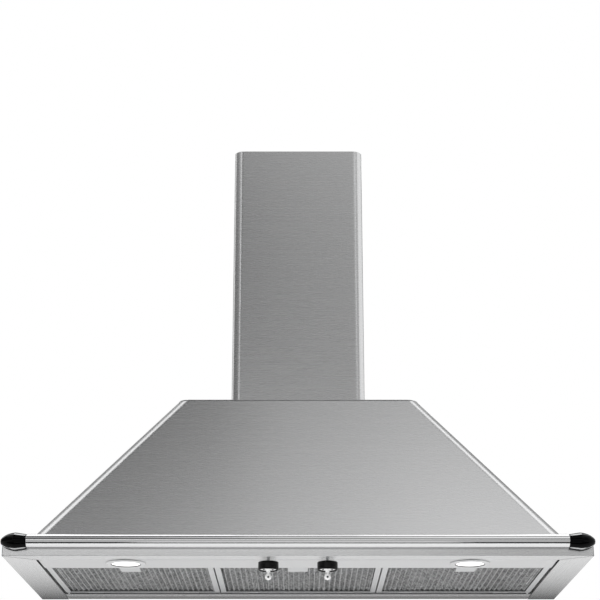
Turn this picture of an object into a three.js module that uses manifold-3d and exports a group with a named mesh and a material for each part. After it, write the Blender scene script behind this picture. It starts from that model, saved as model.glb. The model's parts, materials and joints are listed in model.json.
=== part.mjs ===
// Wall-mounted chimney range hood of the 110 cm class.
// Millimetres. +X is to the right, +Y towards the wall and +Z up.
// The hood is drawn with the wall at y = 0 and the underside of its rim at z = 0. The finished group
// is lowered so that its origin is on the wall side of the back panel, level with the two hooks.

import * as THREE from 'three';
import { mergeVertices } from 'three/addons/utils/BufferGeometryUtils.js';
import Module from 'manifold-3d';

const wasm = await Module();
wasm.setup();

// ---------------------------------------------------------------- driving sizes

// Sheet and clearances
const sheet = 1.2; // folded stainless and galvanised sheet
const fit = 0.3; // left between pieces that touch
const halfFit = fit / 2; // each side of a mitre
const slideFit = 0.6; // between the two chimney covers
const weldLap = 1; // how far pieces that are welded into one reach into each other
const cutOver = 2; // how far a cutter reaches past a face

// Rim, the frame round the underside
const rimWidth = 1094;
const hoodDepth = 500; // front of the rim to the wall
const rimHeight = 41;
const frontStrip = 39; // flat underside in front
const sideStrip = 58; // flat underside at each side
const stripUpstand = 14; // inner edge of a side strip, turned up
const rimFlange = 56; // top flange that carries the canopy
const backRise = 1.3; // the rear rail lies this much above the underside
const backRecess = 4; // wall to the web of the rear rail
const backShelf = 62; // depth of the rear rail's flat underside
const backWeb = 38; // top of its web, above the underside
const backUpstand = 22; // its flange on the back panel

// Front rail and its end caps
const railBottom = 13.7; // above the underside
const railHeight = 27.3;
const railReach = 22; // in front of the rim
const railWall = 2;
const capLength = 49;
const capOverhang = 3; // past the side of the rim
const capHeight = 34;
const capReach = 26;
const capTipShare = 0.12; // size of the blunt outer tip against the fullest section
const capSwellShare = 0.8; // share of its length over which it swells and shrinks again
const capCloseShare = 0.6; // share of its length, at the outer end, over which it closes
const capCloseCurve = 0.8; // 0.5 closes it in an ellipse, more makes it slimmer

// Canopy
const frontLedge = 45; // rim left free in front of the canopy
const sideLedge = 40;
const canopyTop = 363; // above the underside
const canopyTopWidth = 493;
const canopyTopDepth = 275;
const canopyBend = 23; // outer radius of the slanting bends, in plan
const canopyWall = 1.6; // sheet of the canopy, measured level through its slope
const canopyFoot = 10; // flange on the rim
const canopyHead = 12; // flange under the top plate
const tightBend = 0.5; // radius left where a flange is wider than the bend

// Back panel and its hooks
const hangHeight = 300; // hooks above the underside
const hookSpread = 320; // between the two hooks
const hookWindowWidth = 44;
const hookWindowHeight = 34;
const hookWidth = 62;
const hookHeight = 74;
const hookPlate = 3;
const hookHole = 4; // radius
const hookPadGap = 0.3; // from the pad in the window to the wall

// Panel with the lamps and the knobs
const panelDepth = 84; // front seam to the rear upstand
const panelUpstand = 14;
const panelLap = 14; // joggled edge over the front strip
const panelSideGap = 2; // to the side strips

// Lamps
const lampFromEnd = 222; // end of the rim to the middle of a lamp
const lampFromFront = 73;
const bezelRadius = 38;
const bezelThickness = 2;
const bezelLedge = 1.4; // thickness of the lip that the lens rests on
const bezelLip = 26; // radius of the opening in the bezel
const bezelNeck = 33.7; // radius of the neck through the panel
const bezelNeckWall = 1.8;
const bezelNeckHeight = 10;
const lensEdge = 2.2; // thickness of the lens at its edge
const lensDrop = 0.6; // how far the edge of its window hangs through the bezel
const lensBulge = 0.8; // and how far the middle of the window stands out from its edge
const housingHeight = 24;
const housingWall = 1.2;
const housingShoulder = 6;

// Knobs and the switches behind the panel
const knobSpread = 111; // between the two knobs
const knobFromFront = 54;
const knobRadius = 19.25;
const knobHeight = 16.2;
const knobGap = 0.8; // below the panel
const knobRecess = 3.8; // depth of the seat of the bright grip
const knobRim = 1.6; // black rim round that seat
const knobShoulder = 1;
const gripMark = 1.5; // radius of the pointer hole
const gripMarkDepth = 2.4;
const gripMarkDrop = 11.4; // below the rim of the knob
const gripBall = 7.2; // radius of the grip's round end
// The grip's outline: radius and height above the rim of the knob
const gripOutline = [
  [17.35, 1.3],
  [15.3, 0.6],
  [10.4, 1.6],
  [5.3, 0],
  [4.6, -3.4],
  [6.1, -7.4],
  [gripBall, -gripMarkDrop],
  [5.9, -15.4],
  [3, -17.6],
  [0, -18],
];
const shaftRadius = 3;
const bushWall = 1.4;
const switchSide = 26;
const switchHeight = 18;
const switchInset = 11; // how far up the shaft reaches into the switch

// Lamp driver
const driverLength = 92;
const driverDepth = 42;
const driverHeight = 24;
const driverFromCentre = 190;

// Filters
const filterCount = 3;
const filterSideGap = 3.4; // black gap to each side strip
const filterGap = 2.6; // between neighbours
const filterRecess = 3; // above the underside
const filterHeight = 9;
const filterBorder = 11; // width of the frame seen from below
const filterFrontGap = 0.6; // to the panel
const filterRearGap = 3; // to the rear rail
const filterSheet = 1.2;
const pleatPitch = 10.4;
const pleatHeight = 4.4;
const pleatSheet = 1;
const tabWidth = 30; // tongues over the rear rail
const tabReach = 9;
const tabSpread = 200;
const tabSheet = 1.2;

// Latch in the front of each filter
const latchWidth = 42;
const latchRearWidth = 35;
const latchLength = 50;
const latchSheet = 1.2;
const latchTravel = 6;
const studRadius = 1.5;
const studSpread = 30;
const studHead = 0.5; // how far a stud stands below the latch

// Blower
const outletRadius = 75; // spigot for a 150 mm duct
const outletWall = 1.5;
const outletHeight = 62;
const outletFlange = 15;
const outletFromWall = 125;
const impellerRadius = 85;
const impellerWidth = 130;
const impellerBladeDepth = 15;
const impellerBlade = 1.6;
const impellerRing = 3;
const bladeInset = 1.5; // the blades are this much shallower than the rings
const bladeCount = 24;
const bladeLean = 0.6; // radians from the radius
const scrollClearance = 7; // impeller to the tongue of the scroll
const scrollGrowth = 38; // how much the scroll opens from the tongue to the outlet
const scrollWidth = 150;
const inletRadius = 62;
const inletRingHeight = 5;
const inletRingWidth = 8;
const hangerFlange = 16;
const motorRadius = 44;
const motorEdge = 4;
const motorShaftRadius = 4;
const motorFromDisc = 7;
const motorBore = 16; // how far the shaft reaches into the motor
const hubRadius = 14;
const hubLength = 20;
const discThickness = 2.4;
const bracketArms = 3;
const bracketPlate = 3;
const bracketArmWidth = 20;
const bracketHubRadius = 28;
const bracketLap = 16; // how far an arm reaches past the inlet
const screwRadius = 2;
const screwHeadRadius = 4;
const screwHeadHeight = 2.4;
const screwTip = 4; // how far a screw stands above the top plate
const hangerLength = 210; // of the flange, from front to back
const screwFromOutlet = 84; // the left screw in front of the outlet, the right one behind it

// Damper in the outlet
const damperRise = 32; // axis above the flange
const damperPinRadius = 2.5;
const damperSheet = 1.2;
const damperSideGap = 2;
const damperFromPin = 0.6;

// Chimney covers
const chimneyWidth = 277;
const chimneyDepth = 250;
const chimneyLength = 571;
const chimneyBend = 20;
const chimneySheet = 1;
const chimneyReturn = 16; // flange along the wall
const chimneyWallGap = 0.5;
const chimneyStep = 3; // the upper cover ends this much below the lower one
const footHeight = 20;
const footWidth = 18;
const footLength = 130;
const footSheet = 2;
const ceilingBracketHeight = 25;
const ceilingBracketArm = 32;
const ceilingBracketDrop = 12;

// Wiring
const terminalWidth = 96;
const terminalHeight = 66;
const terminalDepth = 34;
const terminalWall = 2.5;
const terminalCover = 3;
const terminalFromCentre = 190;
const terminalBelowHook = 5; // top of the box below the hook plates
const glandRadius = 10;
const glandHeight = 24;
const glandDome = 7; // height of its sloped end
const glandDomeInset = 3;
const glandBore = 4.5;
const glandFromCentre = 108;
const glandFromWall = 34;
const glandNut = 13;
const glandNutHeight = 6;

// Round shapes
const coarse = 20;
const fine = 28;
const bendSteps = 6;
const capSteps = 8;
const scrollSteps = 24;

// ---------------------------------------------------------------- places that follow from the sizes

const rimHalf = rimWidth / 2;
const rimFront = -hoodDepth;
const innerHalf = rimHalf - sideStrip;
const panelFront = rimFront + frontStrip + fit;
const panelRear = panelFront + panelDepth;
const shelfTop = backRise + sheet;
const shelfRear = -backRecess;
const shelfFront = shelfRear - backShelf;
const canopyBase = rimHeight + fit;
const canopyBaseHalf = rimHalf - sideLedge;
const canopyBaseFront = rimFront + frontLedge;
const topPlateBottom = canopyTop + fit;
const topPlateTop = topPlateBottom + sheet;
const onTopPlate = topPlateTop + fit;
const outletY = -outletFromWall;
const scrollMin = impellerRadius + scrollClearance;
const scrollMax = scrollMin + scrollGrowth;
const scrollTop = canopyTop - sheet - fit;
const blowerY = outletY - scrollMax / 2;
const blowerZ = scrollTop - scrollMax - scrollClearance - hangerFlange;
const scrollRise = scrollTop - blowerZ;
const filterSpan = 2 * (innerHalf - filterSideGap);
const filterWidth = (filterSpan - (filterCount - 1) * filterGap) / filterCount;
const filterFront = panelRear + filterFrontGap;
const filterRear = shelfFront - filterRearGap;
const filterDepth = filterRear - filterFront;

// ---------------------------------------------------------------- finishes

function finish(color, roughness, metalness) {
  return new THREE.MeshStandardMaterial({ color, roughness, metalness });
}

const brushedSteel = finish(0xb4b5b6, 0.34, 1);
const railSteel = finish(0xd2d3d4, 0.22, 1);
const blackGloss = finish(0x0b0b0c, 0.12, 0);
const brightChrome = finish(0xe6e8ea, 0.08, 1);
const filterAluminium = finish(0xb9bbbd, 0.42, 1);
const lampGlass = finish(0xfbfaf4, 0.2, 0);
const galvanised = finish(0x9fa3a6, 0.5, 1);
const darkPlastic = finish(0x2a2b2d, 0.55, 0);
const greyPlastic = finish(0xc9cac8, 0.6, 0);
const motorPaint = finish(0x3a3d41, 0.45, 0.3);

// ---------------------------------------------------------------- shape helpers

const towardsX = new THREE.Matrix4().makeBasis(
  new THREE.Vector3(0, 1, 0),
  new THREE.Vector3(0, 0, 1),
  new THREE.Vector3(1, 0, 0),
);
const towardsWall = new THREE.Matrix4().makeBasis(
  new THREE.Vector3(1, 0, 0),
  new THREE.Vector3(0, 0, 1),
  new THREE.Vector3(0, -1, 0),
);

// Turns every triangle over if they point inwards.
function facingOut(geometry) {
  const place = geometry.attributes.position;
  const index = geometry.index.array;
  const corner = [0, 1, 2].map(() => new THREE.Vector3());
  let volume = 0;
  for (let i = 0; i < index.length; i += 3) {
    corner.forEach((point, n) => point.fromBufferAttribute(place, index[i + n]));
    volume += corner[0].dot(corner[1].clone().cross(corner[2]));
  }
  if (volume < 0) {
    for (let i = 0; i < index.length; i += 3) {
      [index[i], index[i + 1]] = [index[i + 1], index[i]];
    }
  }
  return geometry;
}

function closedSurface(points, triangles) {
  const geometry = new THREE.BufferGeometry();
  const numbers = points.flatMap((point) => point.toArray());
  geometry.setAttribute('position', new THREE.Float32BufferAttribute(numbers, 3));
  geometry.setIndex(triangles);
  return facingOut(geometry);
}

// The inside of a closed outline as triangles that run the way the outline runs.
function fillOutline(outline) {
  const turn = Math.sign(THREE.ShapeUtils.area(outline));
  return THREE.ShapeUtils.triangulateShape(outline, []).map(([a, b, c]) => {
    const same = Math.sign(THREE.ShapeUtils.area([outline[a], outline[b], outline[c]])) === turn;
    return same ? [a, b, c] : [c, b, a];
  });
}

// A closed section carried along stations: at(point, station) gives each corner's place.
function sweep(section, stations, at) {
  const count = section.length;
  const points = stations.flatMap((station) => section.map((point) => at(point, station)));
  const triangles = [];
  for (let ring = 0; ring + 1 < stations.length; ring += 1) {
    for (let i = 0; i < count; i += 1) {
      const a = ring * count + i;
      const b = ring * count + ((i + 1) % count);
      triangles.push(a, b, b + count, a, b + count, a + count);
    }
  }
  const last = (stations.length - 1) * count;
  for (const [a, b, c] of fillOutline(section)) {
    triangles.push(c, b, a, last + a, last + b, last + c);
  }
  return closedSurface(points, triangles);
}

function outline(pairs) {
  return pairs.map(([u, v]) => new THREE.Vector2(u, v));
}

// A flat shape, u to the right and v up, made thick along +Z from height z.
function slab(points, thickness, z = 0, holes = []) {
  const shape = new THREE.Shape(outline(points));
  shape.holes = holes.map((hole) => new THREE.Path(outline(hole)));
  const geometry = new THREE.ExtrudeGeometry(shape, { depth: thickness, bevelEnabled: false });
  return geometry.translate(0, 0, z);
}

// A section in y and z, carried along X and centred on x = 0.
function barAlongX(section, length) {
  return slab(section, length, -length / 2).applyMatrix4(towardsX);
}

// A section in x and z, with its face at y and its thickness going back towards the wall.
function sheetAtWall(section, thickness, y, holes = []) {
  return slab(section, thickness, 0, holes).applyMatrix4(towardsWall).translate(0, y + thickness, 0);
}

function block(x0, x1, y0, y1, z0, z1) {
  const geometry = new THREE.BoxGeometry(x1 - x0, y1 - y0, z1 - z0);
  return geometry.translate((x0 + x1) / 2, (y0 + y1) / 2, (z0 + z1) / 2);
}

function rectangle(x0, x1, y0, y1) {
  return [[x0, y0], [x1, y0], [x1, y1], [x0, y1]];
}

// Points round a circle, or part of one. Angles are in radians.
function arc(x, y, radius, from, to, steps) {
  return Array.from({ length: steps + 1 }, (_, i) => {
    const angle = from + ((to - from) * i) / steps;
    return [x + radius * Math.cos(angle), y + radius * Math.sin(angle)];
  });
}

function circle(x, y, radius, steps) {
  return arc(x, y, radius, 0, 2 * Math.PI, steps).slice(0, steps);
}

// A round piece on the Z axis from pairs of radius and height. It starts and ends on the axis, or,
// as a ring, runs back to its first point.
function turned(pairs, steps, ring = false) {
  const profile = outline(ring ? [...pairs, pairs[0]] : pairs);
  const geometry = new THREE.LatheGeometry(profile, steps).rotateX(Math.PI / 2);
  geometry.deleteAttribute('normal');
  geometry.deleteAttribute('uv');
  return facingOut(mergeVertices(geometry));
}

function solid(geometry) {
  const bare = geometry.clone();
  bare.deleteAttribute('normal');
  bare.deleteAttribute('uv');
  const merged = mergeVertices(bare);
  const vertProperties = new Float32Array(merged.attributes.position.array);
  const triVerts = new Uint32Array(merged.index.array);
  return new wasm.Manifold(new wasm.Mesh({ numProp: 3, vertProperties, triVerts }));
}

function surface(manifold) {
  const { vertProperties, triVerts } = manifold.getMesh();
  const geometry = new THREE.BufferGeometry();
  geometry.setAttribute('position', new THREE.Float32BufferAttribute(vertProperties, 3));
  geometry.setIndex(Array.from(triVerts));
  return geometry;
}

function joined(...geometries) {
  return surface(geometries.map(solid).reduce((whole, next) => whole.add(next)));
}

function cut(geometry, ...cutters) {
  return surface(cutters.map(solid).reduce((rest, cutter) => rest.subtract(cutter), solid(geometry)));
}

function rod(radius, from, to, steps = coarse) {
  return new THREE.CylinderGeometry(radius, radius, to - from, steps)
    .rotateX(Math.PI / 2)
    .translate(0, 0, (from + to) / 2);
}

// The same shape on the other side of x = 0.
function mirrored(geometry) {
  const copy = geometry.clone();
  copy.deleteAttribute('normal');
  copy.deleteAttribute('uv');
  return facingOut(mergeVertices(copy.scale(-1, 1, 1)));
}

function piece(name, geometry, material) {
  const mesh = new THREE.Mesh(geometry, material);
  mesh.name = name;
  return mesh;
}

function placed(x, y, z, ...pieces) {
  const group = new THREE.Group();
  group.position.set(x, y, z);
  group.add(...pieces);
  return group;
}

// ---------------------------------------------------------------- rim

// Length that a rim member loses at a mitred corner, for a point this far in from its outer face.
// The underside meets in a line from corner to corner of its strips, and the top flange at 45 degrees.
function mitreLoss(inward, height, ownStrip, otherStrip) {
  const share = height / rimHeight;
  const slope = (1 - share) * (otherStrip / ownStrip) + share;
  return inward * slope;
}

function rimFrontShape() {
  const section = outline([
    [0, 0],
    [frontStrip, 0],
    [frontStrip, sheet],
    [sheet, sheet],
    [sheet, rimHeight - sheet],
    [rimFlange, rimHeight - sheet],
    [rimFlange, rimHeight],
    [0, rimHeight],
  ]);
  return sweep(section, [-1, 1], (point, end) => {
    const loss = mitreLoss(point.x, point.y, frontStrip, sideStrip);
    return new THREE.Vector3(end * (rimHalf - loss - halfFit), rimFront + point.x, point.y);
  });
}

function rimSideShape() {
  const section = outline([
    [0, 0],
    [sideStrip, 0],
    [sideStrip, stripUpstand],
    [sideStrip - sheet, stripUpstand],
    [sideStrip - sheet, sheet],
    [sheet, sheet],
    [sheet, rimHeight - sheet],
    [rimFlange, rimHeight - sheet],
    [rimFlange, rimHeight],
    [0, rimHeight],
  ]);
  return sweep(section, ['front', 'wall'], (point, end) => {
    const loss = mitreLoss(point.x, point.y, sideStrip, frontStrip);
    const y = end === 'wall' ? 0 : rimFront + loss + halfFit;
    return new THREE.Vector3(-rimHalf + point.x, y, point.y);
  });
}

// The rear rail: a flat shelf behind the filters, a web, and a flange that lies on the back panel.
function rimBackShape() {
  const panelFace = -sheet - fit;
  const section = outline([
    [shelfFront, backRise],
    [shelfRear, backRise],
    [shelfRear, backWeb - sheet],
    [panelFace, backWeb - sheet],
    [panelFace, backWeb + backUpstand],
    [panelFace - sheet, backWeb + backUpstand],
    [panelFace - sheet, backWeb],
    [shelfRear - sheet, backWeb],
    [shelfRear - sheet, shelfTop],
    [shelfFront, shelfTop],
  ]);
  return sweep(section, [-1, 1], (point, end) => {
    const half = Math.min(innerHalf, canopyBaseHalf - canopyFoot, canopyHalfWidth(point.y) - canopyWall) - fit;
    return new THREE.Vector3(end * half, point.x, point.y);
  });
}

function makeRim() {
  const side = rimSideShape();
  return [
    piece('rim_front', rimFrontShape(), brushedSteel),
    piece('rim_left', side, brushedSteel),
    piece('rim_right', mirrored(side), brushedSteel),
    piece('rim_back', rimBackShape(), brushedSteel),
  ];
}

// ---------------------------------------------------------------- front rail and end caps

// Half an ellipse on the front of the rim, as pairs of y and z.
function bullNose(height, reach, steps) {
  const face = rimFront - fit;
  const middle = railBottom + railHeight / 2;
  return arc(0, 0, 1, Math.PI / 2, (3 * Math.PI) / 2, steps).map(([u, v]) => [
    face + u * reach,
    middle + (v * height) / 2,
  ]);
}

function frontRailShape() {
  const length = 2 * (rimHalf + capOverhang - capLength - fit);
  const hollow = bullNose(railHeight - 2 * railWall, railReach - railWall, bendSteps * 2);
  const shifted = hollow.map(([y, z]) => [Math.min(y, rimFront - fit - railWall), z]);
  const profile = bullNose(railHeight, railReach, bendSteps * 3);
  return slab(profile, length, -length / 2, [shifted]).applyMatrix4(towardsX);
}

// A rounded black end cap: it leaves the rail's section, swells, and closes to a blunt tip.
function endCapShape() {
  const inner = rimHalf + capOverhang - capLength;
  const stations = Array.from({ length: capSteps + 1 }, (_, i) => i / capSteps);
  const section = outline(bullNose(2, 1, bendSteps * 2).map(([y, z]) => [
    y - rimFront + fit,
    z - railBottom - railHeight / 2,
  ]));
  return sweep(section, stations, (point, along) => {
    const swell = Math.sin(Math.PI * Math.min(along / capSwellShare, 1));
    const closing = Math.max(0, 1 - (1 - along) / capCloseShare);
    const close = capTipShare + (1 - capTipShare) * (1 - closing ** 2) ** capCloseCurve;
    const height = (railHeight + (capHeight - railHeight) * swell) * close;
    const reach = (railReach + (capReach - railReach) * swell) * close;
    return new THREE.Vector3(
      inner + along * capLength,
      rimFront - fit + point.x * reach,
      railBottom + railHeight / 2 + (point.y * height) / 2,
    );
  });
}

function makeFrontTrim() {
  const cap = endCapShape();
  return [
    piece('front_rail', frontRailShape(), railSteel),
    piece('end_cap_left', mirrored(cap), blackGloss),
    piece('end_cap_right', cap, blackGloss),
  ];
}

// ---------------------------------------------------------------- canopy

// How far up the canopy a height lies, from 0 at its foot to 1 at its top.
function canopyShare(height) {
  return (height - canopyBase) / (canopyTop - canopyBase);
}

function canopyHalfWidth(height) {
  return THREE.MathUtils.lerp(canopyBaseHalf, canopyTopWidth / 2, canopyShare(height));
}

function canopyFront(height) {
  return THREE.MathUtils.lerp(canopyBaseFront, -canopyTopDepth, canopyShare(height));
}

// Plan of the canopy at a height, set in from its outer face: from the wall round the front to the wall.
function canopyPlan(height, inset) {
  const half = canopyHalfWidth(height) - inset;
  const front = canopyFront(height) + inset;
  const bend = Math.max(canopyBend - inset, tightBend);
  return [
    [-half, 0],
    ...arc(-half + bend, front + bend, bend, Math.PI, 1.5 * Math.PI, bendSteps),
    ...arc(half - bend, front + bend, bend, 1.5 * Math.PI, 2 * Math.PI, bendSteps),
    [half, 0],
  ];
}

function canopyShellShape() {
  const section = outline([
    [canopyFoot, canopyBase],
    [0, canopyBase],
    [0, canopyTop],
    [canopyHead, canopyTop],
    [canopyHead, canopyTop - sheet],
    [canopyWall, canopyTop - sheet],
    [canopyWall, canopyBase + sheet],
    [canopyFoot, canopyBase + sheet],
  ]);
  const plans = section.map((point) => canopyPlan(point.y, point.x));
  const stations = Array.from({ length: plans[0].length }, (_, i) => i);
  return sweep(section, stations, (point, station) => {
    const [x, y] = plans[section.indexOf(point)][station];
    return new THREE.Vector3(x, y, point.y);
  });
}

function topPlateShape() {
  const plate = slab(canopyPlan(canopyTop, 0), sheet, topPlateBottom);
  const low = topPlateBottom - cutOver;
  const high = topPlateTop + cutOver;
  const outlet = rod(outletRadius - outletWall, low, high, fine).translate(0, outletY, 0);
  const screws = [-1, 1].map((side) => rod(screwRadius + halfFit, low, high, coarse / 2)
    .translate(side * screwX, outletY + side * screwFromOutlet, 0));
  const cable = rod(glandBore, low, high, coarse).translate(-glandFromCentre, -glandFromWall, 0);
  return cut(plate, outlet, cable, ...screws);
}

function backPanelShape() {
  const bottom = canopyBase + sheet + fit;
  const top = canopyTop - sheet - fit;
  const half = (height) => canopyHalfWidth(height) - canopyWall - fit;
  const windows = [-1, 1].map((side) => block(
    (side * hookSpread) / 2 - hookWindowWidth / 2,
    (side * hookSpread) / 2 + hookWindowWidth / 2,
    -sheet - cutOver,
    cutOver,
    hangHeight - hookWindowHeight / 2,
    hangHeight + hookWindowHeight / 2,
  ));
  const panel = [[-half(bottom), bottom], [half(bottom), bottom], [half(top), top], [-half(top), top]];
  return cut(sheetAtWall(panel, sheet, -sheet), ...windows);
}

// A hook plate inside the back panel. Its pad stands through the window to the wall, and both have a
// hole for the wall screw.
function hookShape() {
  const plateFace = -sheet - fit;
  const padHalf = hookWindowWidth / 2 - fit;
  const padHigh = hookWindowHeight / 2 - fit;
  const plate = rectangle(-hookWidth / 2, hookWidth / 2, -hookHeight / 2, hookHeight / 2);
  const pad = block(-padHalf, padHalf, plateFace - weldLap, -hookPadGap, -padHigh, padHigh);
  const hole = sheetAtWall(circle(0, 0, hookHole, coarse / 2), hookPlate + 2 * cutOver, -hookPlate - cutOver);
  return cut(joined(sheetAtWall(plate, hookPlate, plateFace - hookPlate), pad), hole);
}

function makeCanopy() {
  return [
    piece('canopy_shell', canopyShellShape(), brushedSteel),
    piece('canopy_top_plate', topPlateShape(), brushedSteel),
    piece('back_panel', backPanelShape(), galvanised),
    placed(-hookSpread / 2, 0, hangHeight, piece('hook_left', hookShape(), galvanised)),
    placed(hookSpread / 2, 0, hangHeight, piece('hook_right', hookShape(), galvanised)),
  ];
}

// ---------------------------------------------------------------- panel with lamps and knobs

const lampX = rimHalf - lampFromEnd;
const lampY = rimFront + lampFromFront;
const knobY = rimFront + knobFromFront;
const panelHoleRadius = bezelNeck + fit;
const bushRadius = shaftRadius + fit + bushWall;

function lampPanelShape() {
  const lapBottom = sheet + fit;
  const section = [
    [panelFront, 0],
    [panelRear, 0],
    [panelRear, panelUpstand],
    [panelRear - sheet, panelUpstand],
    [panelRear - sheet, sheet],
    [panelFront + sheet, sheet],
    [panelFront + sheet, lapBottom + sheet],
    [panelFront - panelLap, lapBottom + sheet],
    [panelFront - panelLap, lapBottom],
    [panelFront, lapBottom],
  ];
  const holes = [-1, 1].flatMap((side) => [
    rod(panelHoleRadius, -cutOver, sheet + cutOver, fine).translate(side * lampX, lampY, 0),
    rod(bushRadius + fit, -cutOver, sheet + cutOver).translate((side * knobSpread) / 2, knobY, 0),
  ]);
  return cut(barAlongX(section, 2 * (innerHalf - panelSideGap)), ...holes);
}

function bezelShape() {
  const low = -fit - bezelThickness;
  const seat = low + bezelLedge;
  return turned([
    [bezelLip, low],
    [bezelRadius - bezelThickness / 2, low],
    [bezelRadius, low + bezelThickness / 2],
    [bezelRadius, -fit],
    [bezelNeck, -fit],
    [bezelNeck, bezelNeckHeight],
    [bezelNeck - bezelNeckWall, bezelNeckHeight],
    [bezelNeck - bezelNeckWall, seat],
    [bezelLip, seat],
  ], fine, true);
}

const lensSeat = bezelLedge - bezelThickness;
const lensRadius = bezelNeck - bezelNeckWall - fit;

function lensShape() {
  const window = arc(0, 0, 1, 0, Math.PI / 2, bendSteps / 2).map(([inwards, outwards]) => [
    outwards * (bezelLip - fit),
    lensSeat - lensDrop - inwards * lensBulge,
  ]);
  return turned([
    ...window,
    [bezelLip - fit, lensSeat],
    [lensRadius, lensSeat],
    [lensRadius, lensSeat + lensEdge],
    [0, lensSeat + lensEdge],
  ], fine);
}

// A lamp's can: open downwards over the lens, with a sloped shoulder.
function lampHousingShape() {
  const low = lensSeat + lensEdge + fit;
  const high = low + housingHeight;
  return turned([
    [0, high],
    [lensRadius - housingShoulder, high],
    [lensRadius, high - housingShoulder],
    [lensRadius, low],
    [lensRadius - housingWall, low],
    [lensRadius - housingWall, high - housingShoulder - housingWall / 2],
    [lensRadius - housingShoulder - housingWall / 2, high - housingWall],
    [0, high - housingWall],
  ], coarse);
}

// A rotary switch: a square body on the panel, with a bush through it and a blind bore for the shaft.
function switchShape() {
  const low = sheet + fit;
  const half = switchSide / 2;
  const body = block(-half, half, -half, half, low, low + switchHeight);
  const bush = rod(bushRadius, -fit, low + weldLap);
  const bore = rod(shaftRadius + fit, -cutOver, low + switchInset + fit);
  return cut(joined(body, bush), bore);
}

const knobTop = -knobGap;
const knobBottom = knobTop - knobHeight;
const gripSeat = knobBottom + knobRecess;

function switchShaftShape() {
  return rod(shaftRadius, gripSeat + fit, sheet + fit + switchInset);
}

function knobShape() {
  const rimRadius = knobRadius - knobRim;
  return turned([
    [shaftRadius + fit, gripSeat],
    [rimRadius, gripSeat],
    [rimRadius, knobBottom + knobRim / 3],
    [rimRadius + knobRim / 2, knobBottom],
    [knobRadius, knobBottom + knobRim],
    [knobRadius, knobTop - knobShoulder],
    [knobRadius - knobShoulder, knobTop],
    [bushRadius + fit, knobTop],
    [bushRadius + fit, knobTop - knobShoulder],
    [shaftRadius + fit, knobTop - knobShoulder],
  ], fine, true);
}

// The bright grip: a dished ring in the knob's seat and a stub with a round end, marked by a hole
// that points to the front.
function gripShape() {
  const high = gripSeat - fit;
  const stub = turned([
    [0, high],
    [knobRadius - knobRim - fit, high],
    ...gripOutline.map(([radius, up]) => [radius, knobBottom + up]),
  ], coarse);
  const mark = rod(gripMark, 0, gripBall, coarse / 2)
    .rotateX(Math.PI / 2)
    .translate(0, gripMarkDepth - gripBall, knobBottom - gripMarkDrop);
  return cut(stub, mark);
}

function makePanel() {
  const lamps = [['left', -1], ['right', 1]].map(([side, sign]) => placed(
    sign * lampX,
    lampY,
    0,
    piece(`lamp_bezel_${side}`, bezelShape(), brightChrome),
    piece(`lamp_lens_${side}`, lensShape(), lampGlass),
    piece(`lamp_housing_${side}`, lampHousingShape(), galvanised),
  ));
  const knobs = [['fan', -1], ['light', 1]].map(([use, sign]) => placed(
    (sign * knobSpread) / 2,
    knobY,
    0,
    piece(`${use}_switch`, switchShape(), darkPlastic),
    piece(`${use}_switch_shaft`, switchShaftShape(), galvanised),
    piece(`${use}_knob`, knobShape(), blackGloss),
    piece(`${use}_knob_grip`, gripShape(), brightChrome),
  ));
  const low = sheet + fit;
  const rear = panelRear - sheet - fit;
  const driver = new THREE.BoxGeometry(driverLength, driverDepth, driverHeight);
  return [
    piece('lamp_panel', lampPanelShape(), brushedSteel),
    ...lamps,
    ...knobs,
    placed(
      -driverFromCentre,
      rear - driverDepth / 2,
      low + driverHeight / 2,
      piece('lamp_driver', driver, greyPlastic),
    ),
  ];
}

// ---------------------------------------------------------------- filters

const filterBottom = filterRecess;
const latchTop = filterBottom - fit;
const latchBottom = latchTop - latchSheet;
const latchFront = panelRear + fit;
const studY = filterFront + filterBorder - studRadius - fit;

// The frame of a filter: a grooved border, two tongues over the rear rail, and two studs for its latch.
function filterFrameShape() {
  const half = filterWidth / 2;
  const top = filterBottom + filterHeight;
  const window = half - filterBorder;
  const body = block(-half, half, filterFront, filterRear, filterBottom, top);
  const opening = block(
    -window,
    window,
    filterFront + filterBorder,
    filterRear - filterBorder,
    filterBottom - cutOver,
    top + cutOver,
  );
  const groove = block(
    -half + filterSheet,
    half - filterSheet,
    filterFront + filterSheet,
    filterRear - filterSheet,
    filterBottom + filterSheet,
    top - filterSheet,
  );
  const tabs = [-1, 1].map((side) => {
    const x = (side * tabSpread) / 2;
    const low = shelfTop + fit;
    const reach = filterRear + filterRearGap + tabReach;
    return block(x - tabWidth / 2, x + tabWidth / 2, filterRear - filterSheet, reach, low, low + tabSheet);
  });
  const studs = [-1, 1].map((side) => rod(
    studRadius,
    latchBottom - studHead,
    filterBottom + filterSheet / 2,
    coarse / 2,
  ).translate((side * studSpread) / 2, studY, 0));
  return joined(cut(body, opening, groove), ...tabs, ...studs);
}

// The pleated sheet of expanded metal: pleats run from front to back.
function filterMeshShape() {
  const half = filterWidth / 2 - filterSheet - fit;
  const pleats = Math.floor((2 * half) / pleatPitch);
  const edge = (2 * half - pleats * pleatPitch) / 2;
  const low = filterBottom + filterSheet + fit;
  const ridges = Array.from({ length: 2 * pleats + 1 }, (_, i) => [
    -half + edge + (i * pleatPitch) / 2,
    low + (i % 2) * pleatHeight,
  ]);
  const under = [[-half, low], ...ridges, [half, low]];
  const over = under.map(([x, z]) => [x, z + pleatSheet]).reverse();
  const depth = filterDepth - 2 * (filterSheet + fit);
  return slab([...under, ...over], depth)
    .applyMatrix4(towardsWall)
    .translate(0, filterRear - filterSheet - fit, 0);
}

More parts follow.
